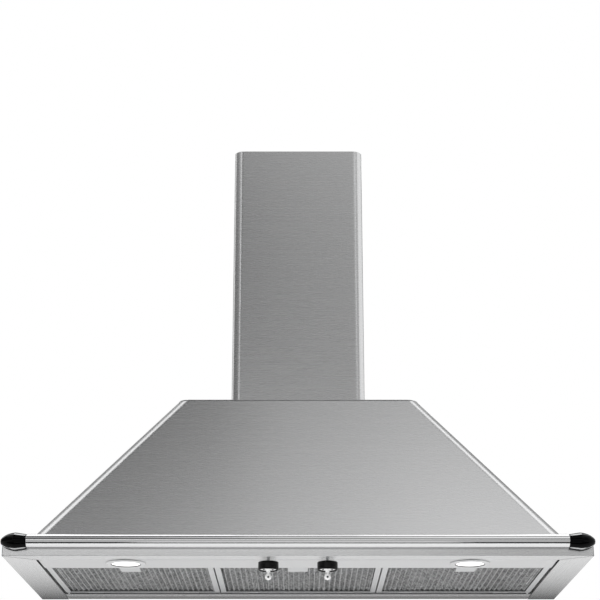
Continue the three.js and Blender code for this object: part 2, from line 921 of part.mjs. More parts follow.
// The latch plate under the front of the frame, on two slots that the studs run in.
function latchShape() {
  const plan = [
    [-latchWidth / 2, latchFront],
    [latchWidth / 2, latchFront],
    [latchRearWidth / 2, latchFront + latchLength],
    [-latchRearWidth / 2, latchFront + latchLength],
  ];
  const radius = studRadius + fit;
  const slots = [-1, 1].map((side) => {
    const x = (side * studSpread) / 2;
    const slot = [
      ...arc(x, studY - latchTravel, radius, Math.PI, 2 * Math.PI, bendSteps),
      ...arc(x, studY, radius, 0, Math.PI, bendSteps),
    ];
    return slab(slot, latchSheet + 2 * cutOver, latchBottom - cutOver);
  });
  return cut(slab(plan, latchSheet, latchBottom), ...slots);
}

function makeFilters() {
  const names = ['left', 'middle', 'right'];
  return names.map((name, i) => placed(
    (i - (filterCount - 1) / 2) * (filterWidth + filterGap),
    0,
    0,
    piece(`filter_frame_${name}`, filterFrameShape(), filterAluminium),
    piece(`filter_mesh_${name}`, filterMeshShape(), filterAluminium),
    piece(`filter_latch_${name}`, latchShape(), filterAluminium),
  ));
}

// ---------------------------------------------------------------- blower

// The scroll's wall as pairs of y and z from the blower's axis, grown outwards by a thickness.
function scrollPath(grow) {
  const spiral = Array.from({ length: scrollSteps + 1 }, (_, i) => {
    const turn = (1.5 * Math.PI * i) / scrollSteps;
    const radius = scrollMax - (scrollGrowth * i) / scrollSteps + grow;
    return [radius * Math.cos(turn), -radius * Math.sin(turn)];
  });
  const tongue = spiral.pop();
  return [
    [scrollMax + grow, scrollRise],
    ...spiral,
    [tongue[0] - grow, tongue[1]],
    [-grow, scrollRise],
  ];
}

function scrollShape() {
  const wall = [...scrollPath(0), ...scrollPath(sheet).reverse()];
  return barAlongX(wall, scrollWidth);
}

const screwX = scrollWidth / 2 + fit + sheet + hangerFlange / 2;

const sideInner = scrollWidth / 2 + fit;
const sideOuter = sideInner + sheet;

// The right-hand side of the casing, with its inlet and the flange that hangs it from the top plate.
// The left-hand side mirrors it, with its screw hole in front of the outlet, not behind.
function blowerSideShape(screwSide) {
  const plate = slab(scrollPath(sheet), sheet, sideInner, [circle(0, 0, inletRadius, fine)])
    .applyMatrix4(towardsX);
  const flangeTop = canopyTop - blowerZ;
  const reach = hangerLength / 2;
  const middle = outletY - blowerY;
  const flange = block(
    sideInner,
    sideOuter + hangerFlange,
    middle - reach,
    middle + reach,
    flangeTop - sheet,
    flangeTop,
  );
  const web = block(
    sideInner,
    sideOuter,
    middle - reach,
    middle + reach,
    flangeTop - hangerFlange,
    flangeTop - sheet / 2,
  );
  const hole = rod(screwRadius + halfFit, flangeTop - sheet - cutOver, flangeTop + cutOver, coarse / 2)
    .translate(screwX, middle + screwSide * screwFromOutlet, 0);
  return cut(joined(plate, web, flange), hole);
}

// The rolled ring round an inlet, on the outside of the right-hand side plate.
function inletRingShape() {
  const face = sideOuter + fit;
  return turned([
    [inletRadius, face],
    [inletRadius + inletRingWidth, face],
    [inletRadius + inletRingWidth, face + sheet],
    [inletRadius + inletRingWidth / 3, face + inletRingHeight],
    [inletRadius, face + inletRingHeight / 2],
  ], fine, true).applyMatrix4(towardsX);
}

// A drum of forward-leaning blades between two rings, on a disc and a hub. It is drawn on the Z axis.
function impellerShape() {
  const half = impellerWidth / 2;
  const inside = impellerRadius - impellerBladeDepth;
  const ring = turned([
    [inside, half - impellerRing],
    [impellerRadius, half - impellerRing],
    [impellerRadius, half],
    [inside, half],
  ], bladeCount, true);
  const disc = turned([
    [motorShaftRadius + fit, -hubLength / 2],
    [hubRadius, -hubLength / 2],
    [hubRadius, -discThickness / 2],
    [inside + impellerBladeDepth / 3, -discThickness / 2],
    [inside + impellerBladeDepth / 3, discThickness / 2],
    [motorShaftRadius + fit, discThickness / 2],
  ], bladeCount, true);
  const lean = Math.cos(bladeLean);
  const blades = Array.from({ length: bladeCount }, (_, i) => {
    const chord = (impellerBladeDepth - bladeInset) / lean;
    const blade = new THREE.BoxGeometry(chord, impellerBlade, impellerWidth - impellerRing);
    blade.rotateZ(bladeLean);
    blade.translate(impellerRadius - impellerBladeDepth / 2, 0, 0);
    return blade.rotateZ((2 * Math.PI * i) / bladeCount);
  });
  const otherRing = ring.clone().translate(0, 0, impellerRing - impellerWidth);
  return joined(disc, ...blades, ring, otherRing);
}

const bracketFace = sideOuter + fit;

function motorShape() {
  const near = motorFromDisc;
  const far = bracketFace - fit;
  const body = turned([
    [0, near],
    [motorRadius - motorEdge, near],
    [motorRadius, near + motorEdge],
    [motorRadius, far - motorEdge],
    [motorRadius - motorEdge, far],
    [0, far],
  ], fine);
  return cut(body, rod(motorShaftRadius + fit, near - cutOver, near + motorBore + fit));
}

function motorShaftShape() {
  return rod(motorShaftRadius, -hubLength, motorFromDisc + motorBore);
}

// The spider that carries the motor: a round plate and arms that reach past the inlet's ring.
function motorBracketShape() {
  const reach = inletRadius + inletRingWidth + fit + bracketLap;
  const base = rod(bracketHubRadius, bracketFace, bracketFace + bracketPlate, fine);
  const rise = bracketFace + inletRingHeight + fit;
  const half = bracketArmWidth / 2;
  const bar = (from, to, low, high) => block(from, to, -half, half, low, high);
  const bend = reach - bracketLap + bracketPlate;
  const strip = [
    bar(0, bracketHubRadius + bracketPlate, bracketFace, bracketFace + bracketPlate),
    bar(bracketHubRadius, bracketHubRadius + bracketPlate, bracketFace, rise + bracketPlate),
    bar(bracketHubRadius, bend, rise, rise + bracketPlate),
    bar(bend - bracketPlate, bend, bracketFace, rise + bracketPlate),
    bar(bend - bracketPlate, reach, bracketFace, bracketFace + bracketPlate),
  ];
  const arms = Array.from({ length: bracketArms }, (_, i) => joined(...strip)
    .rotateZ((2 * Math.PI * i) / bracketArms - Math.PI / 2));
  return joined(base, ...arms);
}

// A screw that hangs the casing: a head under the flange and a shank up through the top plate.
function blowerScrewShape() {
  const flange = canopyTop - sheet;
  const shank = rod(screwRadius, flange - fit - screwHeadHeight / 2, topPlateTop + screwTip, coarse / 2);
  const head = rod(screwHeadRadius, flange - fit - screwHeadHeight, flange - fit, coarse / 2);
  return joined(shank, head);
}

function onAxle(mesh) {
  mesh.geometry.applyMatrix4(towardsX);
  return mesh;
}

function makeBlower() {
  const ring = inletRingShape();
  return [
    placed(
      0,
      blowerY,
      blowerZ,
      piece('blower_scroll', scrollShape(), galvanised),
      piece('blower_side_left', mirrored(blowerSideShape(-1)), galvanised),
      piece('blower_side_right', blowerSideShape(1), galvanised),
      piece('inlet_ring_left', mirrored(ring), darkPlastic),
      piece('inlet_ring_right', ring, darkPlastic),
      onAxle(piece('impeller', impellerShape(), galvanised)),
      onAxle(piece('motor_shaft', motorShaftShape(), galvanised)),
      onAxle(piece('motor', motorShape(), motorPaint)),
      onAxle(piece('motor_bracket', motorBracketShape(), galvanised)),
    ),
    ...[['left', -1], ['right', 1]].map(([end, side]) => placed(
      side * screwX,
      outletY + side * screwFromOutlet,
      0,
      piece(`blower_screw_${end}`, blowerScrewShape(), galvanised),
    )),
  ];
}

// ---------------------------------------------------------------- outlet and damper

function outletCollarShape() {
  const inside = outletRadius - outletWall;
  return turned([
    [inside, onTopPlate],
    [outletRadius + outletFlange, onTopPlate],
    [outletRadius + outletFlange, onTopPlate + sheet],
    [outletRadius, onTopPlate + sheet],
    [outletRadius, onTopPlate + outletHeight],
    [inside, onTopPlate + outletHeight],
  ], fine, true);
}

function damperPinShape() {
  const half = outletRadius - outletWall - 2 * fit;
  return rod(damperPinRadius, -half, half, coarse / 2).applyMatrix4(towardsX);
}

// Half a disc on the wall side of the pin.
function damperFlapShape() {
  const radius = outletRadius - outletWall - damperSideGap;
  const start = Math.asin((damperPinRadius + damperFromPin) / radius);
  return slab(arc(0, 0, radius, start, Math.PI - start, coarse), damperSheet, -damperSheet / 2);
}

function makeOutlet() {
  const front = piece('damper_front', damperFlapShape(), galvanised);
  front.rotation.z = Math.PI;
  return [
    placed(0, outletY, 0, piece('outlet_collar', outletCollarShape(), galvanised)),
    placed(
      0,
      outletY,
      onTopPlate + damperRise,
      piece('damper_pin', damperPinShape(), galvanised),
      piece('damper_rear', damperFlapShape(), galvanised),
      front,
    ),
  ];
}

// ---------------------------------------------------------------- chimney

// A cover's plan: a U with rounded corners and a flange along the wall at each end.
function coverPlan(half, front, back) {
  const side = (inset) => {
    const bend = chimneyBend - inset;
    const edge = half - inset;
    return [
      [-edge, back - inset],
      ...arc(-edge + bend, front + inset + bend, bend, Math.PI, 1.5 * Math.PI, bendSteps),
      ...arc(edge - bend, front + inset + bend, bend, 1.5 * Math.PI, 2 * Math.PI, bendSteps),
      [edge, back - inset],
    ];
  };
  const flange = half - chimneyReturn;
  return [
    [-flange, back],
    ...side(0),
    [flange, back],
    [flange, back - chimneySheet],
    ...side(chimneySheet).reverse(),
    [-flange, back - chimneySheet],
  ];
}

const chimneyBase = onTopPlate;
const chimneyTop = chimneyBase + chimneyLength;
const coverStep = chimneySheet + slideFit;
const upperBase = onTopPlate + footHeight + fit;
const upperTop = chimneyTop - chimneyStep;
const upperHalf = chimneyWidth / 2 - coverStep;

function lowerCoverShape() {
  return slab(coverPlan(chimneyWidth / 2, -chimneyDepth, -chimneyWallGap), chimneyLength, chimneyBase);
}

function upperCoverShape() {
  const plan = coverPlan(upperHalf, -chimneyDepth + coverStep, -chimneyWallGap - coverStep);
  return slab(plan, upperTop - upperBase, upperBase);
}

// An angle on the top plate, inside the lower cover's right-hand wall. The upper cover rests on it.
function footShape() {
  const face = chimneyWidth / 2 - chimneySheet - fit;
  const middle = -chimneyDepth / 2;
  const section = [
    [face - footWidth, onTopPlate],
    [face, onTopPlate],
    [face, onTopPlate + footHeight],
    [face - footSheet, onTopPlate + footHeight],
    [face - footSheet, onTopPlate + footSheet],
    [face - footWidth, onTopPlate + footSheet],
  ];
  return sheetAtWall(section, footLength, middle - footLength / 2);
}

// The bracket that fixes the upper cover near the ceiling: a bar along the wall with two short arms.
function ceilingBracketShape() {
  const back = -chimneyWallGap - coverStep - chimneySheet - fit;
  const half = upperHalf - chimneySheet - fit;
  const plan = [
    [-half, back],
    [half, back],
    [half, back - ceilingBracketArm],
    [half - footSheet, back - ceilingBracketArm],
    [half - footSheet, back - footSheet],
    [-half + footSheet, back - footSheet],
    [-half + footSheet, back - ceilingBracketArm],
    [-half, back - ceilingBracketArm],
  ];
  return slab(plan, ceilingBracketHeight, upperTop - ceilingBracketDrop - ceilingBracketHeight);
}

function makeChimney() {
  const foot = footShape();
  return [
    piece('chimney_lower', lowerCoverShape(), brushedSteel),
    piece('chimney_upper', upperCoverShape(), brushedSteel),
    piece('chimney_foot_left', mirrored(foot), galvanised),
    piece('chimney_foot_right', foot, galvanised),
    piece('ceiling_bracket', ceilingBracketShape(), galvanised),
  ];
}

// ---------------------------------------------------------------- wiring

function terminalBoxShape() {
  const half = terminalWidth / 2;
  const high = terminalHeight / 2;
  const back = -sheet - fit;
  const front = back - terminalDepth;
  const body = block(-half, half, front, back, -high, high);
  const inside = block(
    -half + terminalWall,
    half - terminalWall,
    front - cutOver,
    back - terminalWall,
    -high + terminalWall,
    high - terminalWall,
  );
  return cut(body, inside);
}

function terminalCoverShape() {
  const plate = rectangle(-terminalWidth / 2, terminalWidth / 2, -terminalHeight / 2, terminalHeight / 2);
  const front = -sheet - 2 * fit - terminalDepth - terminalCover;
  return sheetAtWall(plate, terminalCover, front);
}

// The cable gland: a nut and a domed cap with a bore that the mains cable comes through.
function cableGlandShape() {
  return turned([
    [glandBore, onTopPlate],
    [glandNut, onTopPlate],
    [glandNut, onTopPlate + glandNutHeight],
    [glandRadius, onTopPlate + glandNutHeight],
    [glandRadius, onTopPlate + glandHeight - glandDome],
    [glandRadius - glandDomeInset, onTopPlate + glandHeight],
    [glandBore, onTopPlate + glandHeight],
  ], coarse, true);
}

function makeWiring() {
  return [
    placed(
      -terminalFromCentre,
      0,
      hangHeight - hookHeight / 2 - terminalBelowHook - terminalHeight / 2,
      piece('terminal_box', terminalBoxShape(), greyPlastic),
      piece('terminal_cover', terminalCoverShape(), greyPlastic),
    ),
    placed(-glandFromCentre, -glandFromWall, 0, piece('cable_gland', cableGlandShape(), darkPlastic)),
  ];
}

// ---------------------------------------------------------------- the hood

const hood = placed(
  0,
  0,
  -hangHeight,
  ...makeRim(),
  ...makeFrontTrim(),
  ...makeCanopy(),
  ...makePanel(),
  ...makeFilters(),
  ...makeBlower(),
  ...makeOutlet(),
  ...makeChimney(),
  ...makeWiring(),
);

const group = new THREE.Group();
group.name = 'chimney_range_hood';
group.add(hood);

export default group;
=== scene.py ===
import json
import math

import bmesh
import bpy
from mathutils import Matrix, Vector

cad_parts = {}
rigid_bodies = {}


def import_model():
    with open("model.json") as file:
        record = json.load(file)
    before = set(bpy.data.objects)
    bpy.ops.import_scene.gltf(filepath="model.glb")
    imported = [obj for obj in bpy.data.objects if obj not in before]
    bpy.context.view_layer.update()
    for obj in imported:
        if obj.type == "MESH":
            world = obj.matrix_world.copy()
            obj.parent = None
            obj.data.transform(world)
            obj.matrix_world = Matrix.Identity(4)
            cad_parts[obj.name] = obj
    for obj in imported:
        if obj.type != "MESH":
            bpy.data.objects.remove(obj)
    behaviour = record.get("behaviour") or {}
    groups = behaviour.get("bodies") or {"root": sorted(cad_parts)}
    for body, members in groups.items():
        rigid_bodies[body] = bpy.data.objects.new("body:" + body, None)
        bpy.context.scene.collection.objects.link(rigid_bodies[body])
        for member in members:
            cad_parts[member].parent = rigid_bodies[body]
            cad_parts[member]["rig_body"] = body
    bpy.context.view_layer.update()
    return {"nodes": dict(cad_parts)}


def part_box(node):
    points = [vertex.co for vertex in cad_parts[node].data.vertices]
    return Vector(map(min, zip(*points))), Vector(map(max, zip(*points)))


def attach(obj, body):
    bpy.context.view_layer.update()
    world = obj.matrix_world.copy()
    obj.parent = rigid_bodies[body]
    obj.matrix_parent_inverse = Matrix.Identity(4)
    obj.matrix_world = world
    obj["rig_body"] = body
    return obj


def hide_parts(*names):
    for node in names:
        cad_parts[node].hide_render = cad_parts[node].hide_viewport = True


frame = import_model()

# ------------------------------------------------------------------ the studio
# The hood hangs at its working height over a pale floor, in front of a white background.
# The camera stands low in front of it and looks up, as in the photograph.

camera_place = (0.0039, -3.454, -0.8515)
camera_tilt = math.radians(90 + 19.623)
camera_lens = 96.46

camera_data = bpy.data.cameras.new("camera")
camera_data.lens = camera_lens
camera_data.sensor_width = 36
camera_data.clip_end = 60
camera = bpy.data.objects.new("camera", camera_data)
camera.location = camera_place
camera.rotation_euler = (camera_tilt, 0, 0)
bpy.context.scene.collection.objects.link(camera)
bpy.context.scene.camera = camera
bpy.context.scene.view_settings.view_transform = "Standard"

# The world is white to the camera and in reflections, and gives the surfaces a plain soft light.
world_light = 0.62

world = bpy.data.worlds.new("white_studio")
world.use_nodes = True
bpy.context.scene.world = world
nodes, links = world.node_tree.nodes, world.node_tree.links
sky = nodes["Background"]
sky.inputs["Color"].default_value = (1, 1, 1, 1)


def calculate(nodes, links, operation, *sources):
    """The result of a math node on numbers and other nodes' outputs."""
    step = nodes.new("ShaderNodeMath")
    step.operation = operation
    for source, socket in zip(sources, step.inputs):
        if isinstance(source, (int, float)):
            socket.default_value = source
        else:
            links.new(source, socket)
    return step.outputs[0]


def respan(nodes, links, source, low, high, first=0, last=1):
    """Carries a value from the span between first and last to the one between low and high."""
    spread = nodes.new("ShaderNodeMapRange")
    for name, number in zip(("From Min", "From Max", "To Min", "To Max"), (first, last, low, high)):
        spread.inputs[name].default_value = number
    links.new(source, spread.inputs["Value"])
    return spread.outputs["Result"]


def seen_or_mirrored(nodes, links):
    """1 for a camera, glossy or transmission ray, and 0 for the rays that light a surface."""
    ray = nodes.new("ShaderNodeLightPath").outputs
    seen = calculate(nodes, links, "MAXIMUM", ray["Is Camera Ray"], ray["Is Glossy Ray"])
    return calculate(nodes, links, "MAXIMUM", seen, ray["Is Transmission Ray"])


links.new(respan(nodes, links, seen_or_mirrored(nodes, links), world_light, 1), sky.inputs["Strength"])

# A soft lamp overhead in front and a weaker one from below at the left. They light the surfaces,
# and reflections show the cards further down in their place.
for name, place, aim, size, power in (
    ("lamp_overhead", (1.2, -2.6, 2.4), (0, -0.3, 0.1), 2.2, 95),
    ("lamp_low", (-1.6, -2.6, -1.3), (0, -0.3, -0.2), 1.6, 22),
):
    lamp_data = bpy.data.lights.new(name, "AREA")
    lamp_data.size = size
    lamp_data.energy = power
    lamp = bpy.data.objects.new(name, lamp_data)
    lamp.location = place
    lamp.rotation_euler = (Vector(aim) - Vector(place)).to_track_quat("-Z", "Y").to_euler()
    lamp.visible_glossy = False
    bpy.context.scene.collection.objects.link(lamp)

# The floor is a pale disc that fades into the white background at its edge.
floor_height = -1.86
floor_radius = 9
floor_colour = (0.83, 0.83, 0.83)
floor_shine = 0.3  # towards the camera and in reflections
fade_start, fade_end = 3.2, 8.6


def new_material(name, colour, metal, rough):
    """A material with its plain values set, and its nodes, links and shader."""
    made = bpy.data.materials.new(name)
    made.use_nodes = True
    tree = made.node_tree
    shader = tree.nodes["Principled BSDF"]
    shader.inputs["Base Color"].default_value = (*colour, 1)
    shader.inputs["Metallic"].default_value = metal
    shader.inputs["Roughness"].default_value = rough
    return made, tree.nodes, tree.links, shader


bpy.ops.object.select_all(action="DESELECT")
bpy.ops.mesh.primitive_circle_add(
    vertices=96, radius=floor_radius, fill_type="NGON", location=(0, 0, floor_height),
)
bpy.ops.object.transform_apply(location=True)
floor = bpy.context.object
floor.name = "floor"
floor_paint, nodes, links, shader = new_material("floor_paint", floor_colour, 0, 0.9)
shader.inputs["Emission Color"].default_value = (1, 1, 1, 1)
shine = calculate(nodes, links, "MULTIPLY", seen_or_mirrored(nodes, links), floor_shine)
links.new(shine, shader.inputs["Emission Strength"])
place = nodes.new("ShaderNodeTexCoord")
far = nodes.new("ShaderNodeVectorMath")
far.operation = "DISTANCE"
far.inputs[1].default_value = (0, 0, floor_height)
links.new(place.outputs["Object"], far.inputs[0])
fade = respan(nodes, links, far.outputs["Value"], 1, 0, fade_start, fade_end)
fade.node.interpolation_type = "SMOOTHSTEP"
links.new(fade, shader.inputs["Alpha"])
floor.data.materials.append(floor_paint)

# Studio cards are what bare metal shows. The camera and the lighting rays pass them. Most are parts of
# tubes round one centre, from one elevation to another.
card_centre = Vector((0, -0.35, -0.12))


def elevation(point):
    """Degrees above the front horizon at which a point is seen from the hood."""
    seen = point - card_centre
    return math.degrees(math.atan2(seen.z, -seen.y)) % 360


def stage_card(card, paint):
    """Gives a card its material and hides it from the camera and from the light."""
    card.data.materials.append(paint)
    for ray in ("camera", "diffuse", "transmission", "volume_scatter", "shadow"):
        setattr(card, "visible_" + ray, False)


def glow_material(name, grey):
    """A material that only shines, with its nodes, links and shader."""
    made = bpy.data.materials.new(name)
    made.use_nodes = True
    nodes, links = made.node_tree.nodes, made.node_tree.links
    nodes.remove(nodes["Principled BSDF"])
    glow = nodes.new("ShaderNodeEmission")
    glow.inputs["Strength"].default_value = grey
    links.new(glow.outputs[0], nodes["Material Output"].inputs["Surface"])
    return made, nodes, links, glow


def bent_card(name, radius, half_width, start, end, middle=0):
    """Part of a tube round the hood, from one elevation in degrees to another."""
    bpy.ops.object.select_all(action="DESELECT")
    bpy.ops.mesh.primitive_cylinder_add(
        vertices=180, radius=radius, depth=2 * half_width, end_fill_type="NOTHING",
        location=card_centre + Vector((middle, 0, 0)), rotation=(0, math.pi / 2, 0),
    )
    bpy.ops.object.transform_apply(location=True, rotation=True)
    card = bpy.context.object
    card.name = name
    bpy.ops.object.mode_set(mode="EDIT")
    bpy.context.tool_settings.mesh_select_mode = (False, False, True)
    bpy.ops.mesh.select_all(action="DESELECT")
    mesh = bmesh.from_edit_mesh(card.data)
    for face in mesh.faces:
        face.select_set(not start < elevation(face.calc_center_median()) < end)
    bmesh.update_edit_mesh(card.data)
    bpy.ops.mesh.delete(type="FACE")
    bpy.ops.mesh.select_all(action="SELECT")
    bpy.ops.mesh.flip_normals()
    bpy.ops.object.mode_set(mode="OBJECT")
    return card


def flat_card(name, low, high, grey, grey_top=None):
    """A flat card between two corners, with one grey, or with another at its top."""
    middle = [(a + b) / 2 for a, b in zip(low, high)]
    size = [b - a for a, b in zip(low, high)]
    turn = {0: (0, math.pi / 2, 0), 1: (math.pi / 2, 0, 0), 2: (0, 0, 0)}[size.index(0)]
    bpy.ops.object.select_all(action="DESELECT")
    bpy.ops.mesh.primitive_plane_add(size=1, location=middle, rotation=turn)
    bpy.ops.object.transform_apply(location=True, rotation=True)
    card = bpy.context.object
    card.name = name
    bpy.ops.object.mode_set(mode="EDIT")
    bpy.ops.mesh.select_all(action="SELECT")
    bpy.ops.transform.resize(value=[value or 1 for value in size], center_override=middle)
    bpy.ops.object.mode_set(mode="OBJECT")
    paint, nodes, links, glow = glow_material(name, grey)
    if grey_top is not None:
        place = nodes.new("ShaderNodeTexCoord")
        axes = nodes.new("ShaderNodeSeparateXYZ")
        links.new(place.outputs["Object"], axes.inputs[0])
        rise = respan(nodes, links, axes.outputs["Z"], grey, grey_top, low[2], high[2])
        links.new(rise, glow.inputs["Strength"])
    stage_card(card, paint)
    return card


def set_stops(ramp, span, stops):
    """Grey levels along a colour ramp, at places counted over the span."""
    ramp.interpolation = "EASE"
    while len(ramp.elements) > 1:
        ramp.elements.remove(ramp.elements[-1])
    for count, (place, grey) in enumerate(stops):
        share = (place - span[0]) / (span[1] - span[0])
        element = ramp.elements.new(share) if count else ramp.elements[0]
        element.position = share
        element.color = (grey, grey, grey, 1)


# The front card reaches over the top, bright half way up and darker at the left than at the right.
front_radius = 4.2
front_half_width = 1.75
front_start, front_end = 12, 95

front_glow, nodes, links, glow = glow_material("studio_card_front", 1)
place = nodes.new("ShaderNodeTexCoord")
seen = nodes.new("ShaderNodeVectorMath")
seen.operation = "SUBTRACT"
seen.inputs[1].default_value = card_centre
axes = nodes.new("ShaderNodeSeparateXYZ")
links.new(place.outputs["Object"], seen.inputs[0])
links.new(seen.outputs["Vector"], axes.inputs[0])
ahead = calculate(nodes, links, "MULTIPLY", axes.outputs["Y"], -1)
angle = calculate(nodes, links, "ARCTAN2", axes.outputs["Z"], ahead)
half_turns = calculate(nodes, links, "DIVIDE", angle, math.pi)
across = respan(nodes, links, axes.outputs["X"], 0, 1, -front_half_width, front_half_width)
height_ramp = nodes.new("ShaderNodeValToRGB")
side_ramp = nodes.new("ShaderNodeValToRGB")
links.new(half_turns, height_ramp.inputs["Fac"])
links.new(across, side_ramp.inputs["Fac"])
both = calculate(nodes, links, "MULTIPLY", height_ramp.outputs["Color"], side_ramp.outputs["Color"])
links.new(both, glow.inputs["Strength"])
set_stops(height_ramp.color_ramp, (0, 180), [
    (12, 0.04), (17, 0.17), (22, 0.33), (30, 0.41), (46, 0.85), (58, 1.2), (67, 1.05), (76, 0.36),
    (95, 0.22),
])
set_stops(side_ramp.color_ramp, (-front_half_width, front_half_width), [
    (-1.75, 0.3), (-1, 0.34), (-0.7, 0.48), (-0.46, 0.64), (-0.23, 0.7), (0, 0.74), (0.25, 0.77),
    (0.46, 0.9), (0.8, 1.0), (1.75, 0.9),
])
front_card = bent_card("studio_card_front", front_radius, front_half_width, front_start, front_end)
stage_card(front_card, front_glow)

# A bright silk stands behind the front card and shows as a line over its top and past its sides. A
# grey card is bent round the back, with a silk before its middle. Two dark flags hang before the
# front card at the left. A row gives a card's radius, half width, elevations, middle and grey.
for name, radius, half_width, start, end, middle, grey in (
    ("studio_silk", 4.5, 4.5, 66, 111, 0, 1.35),
    ("studio_card_back", 4.2, 3.2, 113, 174, 0, 0.3),
    ("studio_silk_back", 4.1, 1.4, 112, 148, 0, 1.5),
    ("studio_flag", 4.15, 0.7, 70.5, 92, -0.95, 0.0),
    ("studio_flag_low", 4.15, 0.6, 12, 34, -0.8, 0.08),
):
    stage_card(bent_card(name, radius, half_width, start, end, middle), glow_material(name, grey)[0])

# A card just before the chimney cover shines on its front alone, for the bright line along the rail.
line_inset = 0.0005
line_gap = 0.0045
line_foot = 0.1
line_shine = 1.15

cover_low, cover_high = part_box("chimney_lower")
line_card = flat_card(
    "studio_line", (cover_low.x + line_inset, cover_low.y - line_gap, line_foot),
    (cover_high.x - line_inset, cover_low.y - line_gap, cover_high.z), line_shine,
)
tree = line_card.data.materials[0].node_tree
nodes, links = tree.nodes, tree.links
side = nodes.new("ShaderNodeNewGeometry")
clear = nodes.new("ShaderNodeBsdfTransparent")
either = nodes.new("ShaderNodeMixShader")
links.new(side.outputs["Backfacing"], either.inputs[0])
links.new(nodes["Emission"].outputs[0], either.inputs[1])
links.new(clear.outputs[0], either.inputs[2])
links.new(either.outputs[0], nodes["Material Output"].inputs["Surface"])

# Flat ones stand at the left and the right, at the horizon in front and over the floor in front,
# with a dark strip where the worktop's edge would be. A row gives a card's two corners and its grey.
for name, low, high, grey in (
    ("studio_card_left", (-3, -4.9, -0.4), (-3, 0.9, 2.6), 0.2),
    ("studio_card_right", (2.8, -5, -0.4), (2.8, -1.8, 2.6), 0.4),
    ("studio_card_horizon", (-3, -4.6, -1.8), (3, -4.6, -0.1), 0.5),
    ("studio_silk_horizon", (-5, -4.7, -0.1), (0.4, -4.7, 0.45), 1.45),
    ("studio_silk_horizon_fade", (0.4, -4.7, -0.1), (0.75, -4.7, 0.45), 1.0),
    ("studio_silk_horizon_end", (0.75, -4.7, -0.1), (1.4, -4.7, 0.45), 0.5),
    ("studio_card_floor", (-3, -4.6, -1.8), (3, -1.5, -1.8), 0.56),
    ("studio_card_floor_middle", (-0.5, -2.4, -1.79), (0.5, -1.5, -1.79), 0.95),
    ("studio_card_worktop_middle", (-0.5, -1.5, -1.8), (0.5, -0.95, -1.8), 0.0),
    ("studio_card_worktop_left", (-3, -1.85, -1.79), (-0.5, -0.95, -1.79), 0.0),
    ("studio_card_worktop_right", (0.5, -1.85, -1.79), (3, -0.95, -1.79), 0.0),
):
    flat_card(name, low, high, grey)
# A short one behind the wall side of the underside fades towards its top.
flat_card("studio_card_low", (-0.75, 0.02, -0.385), (0.75, 0.02, -0.296), 0.9, grey_top=0.05)

# ------------------------------------------------------------------ back panel and hooks
# The back panel is one sheet of galvanised steel that closes the canopy on the wall side. Two thick
# plates are welded inside it, with a hole each for the screws or studs in the wall.

fold_outside = 0.0017  # outer radius of a fold in the sheet
fold_inside = 0.0006
wide_face = 0.003  # a face narrower than this is the cut edge of a sheet
fold_length = 0.02  # a shorter edge is no fold
fold_turn = math.radians(50)
noise_low, noise_high = 0.3, 0.7  # where nearly all of a texture's values lie


def pattern(nodes, links, kind, scale, stretch=(1, 1, 1), **values):
    """A noise or voronoi texture on the piece's own coordinates, stretched along its axes."""
    place = nodes.new("ShaderNodeTexCoord")
    mapping = nodes.new("ShaderNodeMapping")
    mapping.inputs["Scale"].default_value = stretch
    texture = nodes.new(kind)
    texture.inputs["Scale"].default_value = scale
    for key, value in values.items():
        texture.inputs[key].default_value = value
    links.new(place.outputs["Object"], mapping.inputs["Vector"])
    links.new(mapping.outputs["Vector"], texture.inputs["Vector"])
    return texture


def vary(nodes, links, source, socket, low, high):
    """Drives a number from low to high with a texture's value."""
    links.new(respan(nodes, links, source, low, high, noise_low, noise_high), socket)


def tint(nodes, links, source, socket, dark, light):
    """Drives a colour from dark to light with a texture's value."""
    mix = nodes.new("ShaderNodeMix")
    mix.data_type = "RGBA"
    mix.inputs["A"].default_value = (*dark, 1)
    mix.inputs["B"].default_value = (*light, 1)
    vary(nodes, links, source, mix.inputs["Factor"], 0, 1)
    links.new(mix.outputs["Result"], socket)


def emboss(nodes, links, source, shader, strength, distance):
    """Lets a texture's value stand out from the surface."""
    bump = nodes.new("ShaderNodeBump")
    bump.inputs["Strength"].default_value = strength
    bump.inputs["Distance"].default_value = distance
    links.new(source, bump.inputs["Height"])
    links.new(bump.outputs["Normal"], shader.inputs["Normal"])


def zinc(name):
    """Hot-dip galvanised sheet: dull, with the frost-like spangle of its zinc crystals."""
    made, nodes, links, shader = new_material(name, (0.5, 0.51, 0.52), 1, 0.5)
    crystals = pattern(nodes, links, "ShaderNodeTexVoronoi", 95).outputs["Color"]
    cloud = pattern(nodes, links, "ShaderNodeTexNoise", 40, Detail=5).outputs["Fac"]
    haze = calculate(nodes, links, "MULTIPLY", cloud, 0.4)
    both = calculate(nodes, links, "MULTIPLY_ADD", crystals, 0.6, haze)
    tint(nodes, links, both, shader.inputs["Base Color"], (0.42, 0.43, 0.44), (0.56, 0.57, 0.58))
    vary(nodes, links, both, shader.inputs["Roughness"], 0.4, 0.58)
    emboss(nodes, links, cloud, shader, 0.15, 0.0003)
    return made


def pick_up(piece):
    """Object mode, with one piece selected and active."""
    bpy.ops.object.mode_set(mode="OBJECT")
    bpy.ops.object.select_all(action="DESELECT")
    piece.select_set(True)
    bpy.context.view_layer.objects.active = piece


def choose(piece, kind, wanted):
    """Edit mode, with only the vertices, edges or faces selected that are wanted."""
    pick_up(piece)
    bpy.ops.object.mode_set(mode="EDIT")
    bpy.context.tool_settings.mesh_select_mode = (kind == "verts", kind == "edges", kind == "faces")
    bpy.ops.mesh.select_all(action="DESELECT")
    mesh = bmesh.from_edit_mesh(piece.data)
    mesh.normal_update()
    picked = [part for part in getattr(mesh, kind) if wanted(part)]
    for part in picked:
        part.select_set(True)
    bmesh.update_edit_mesh(piece.data)
    return len(picked)


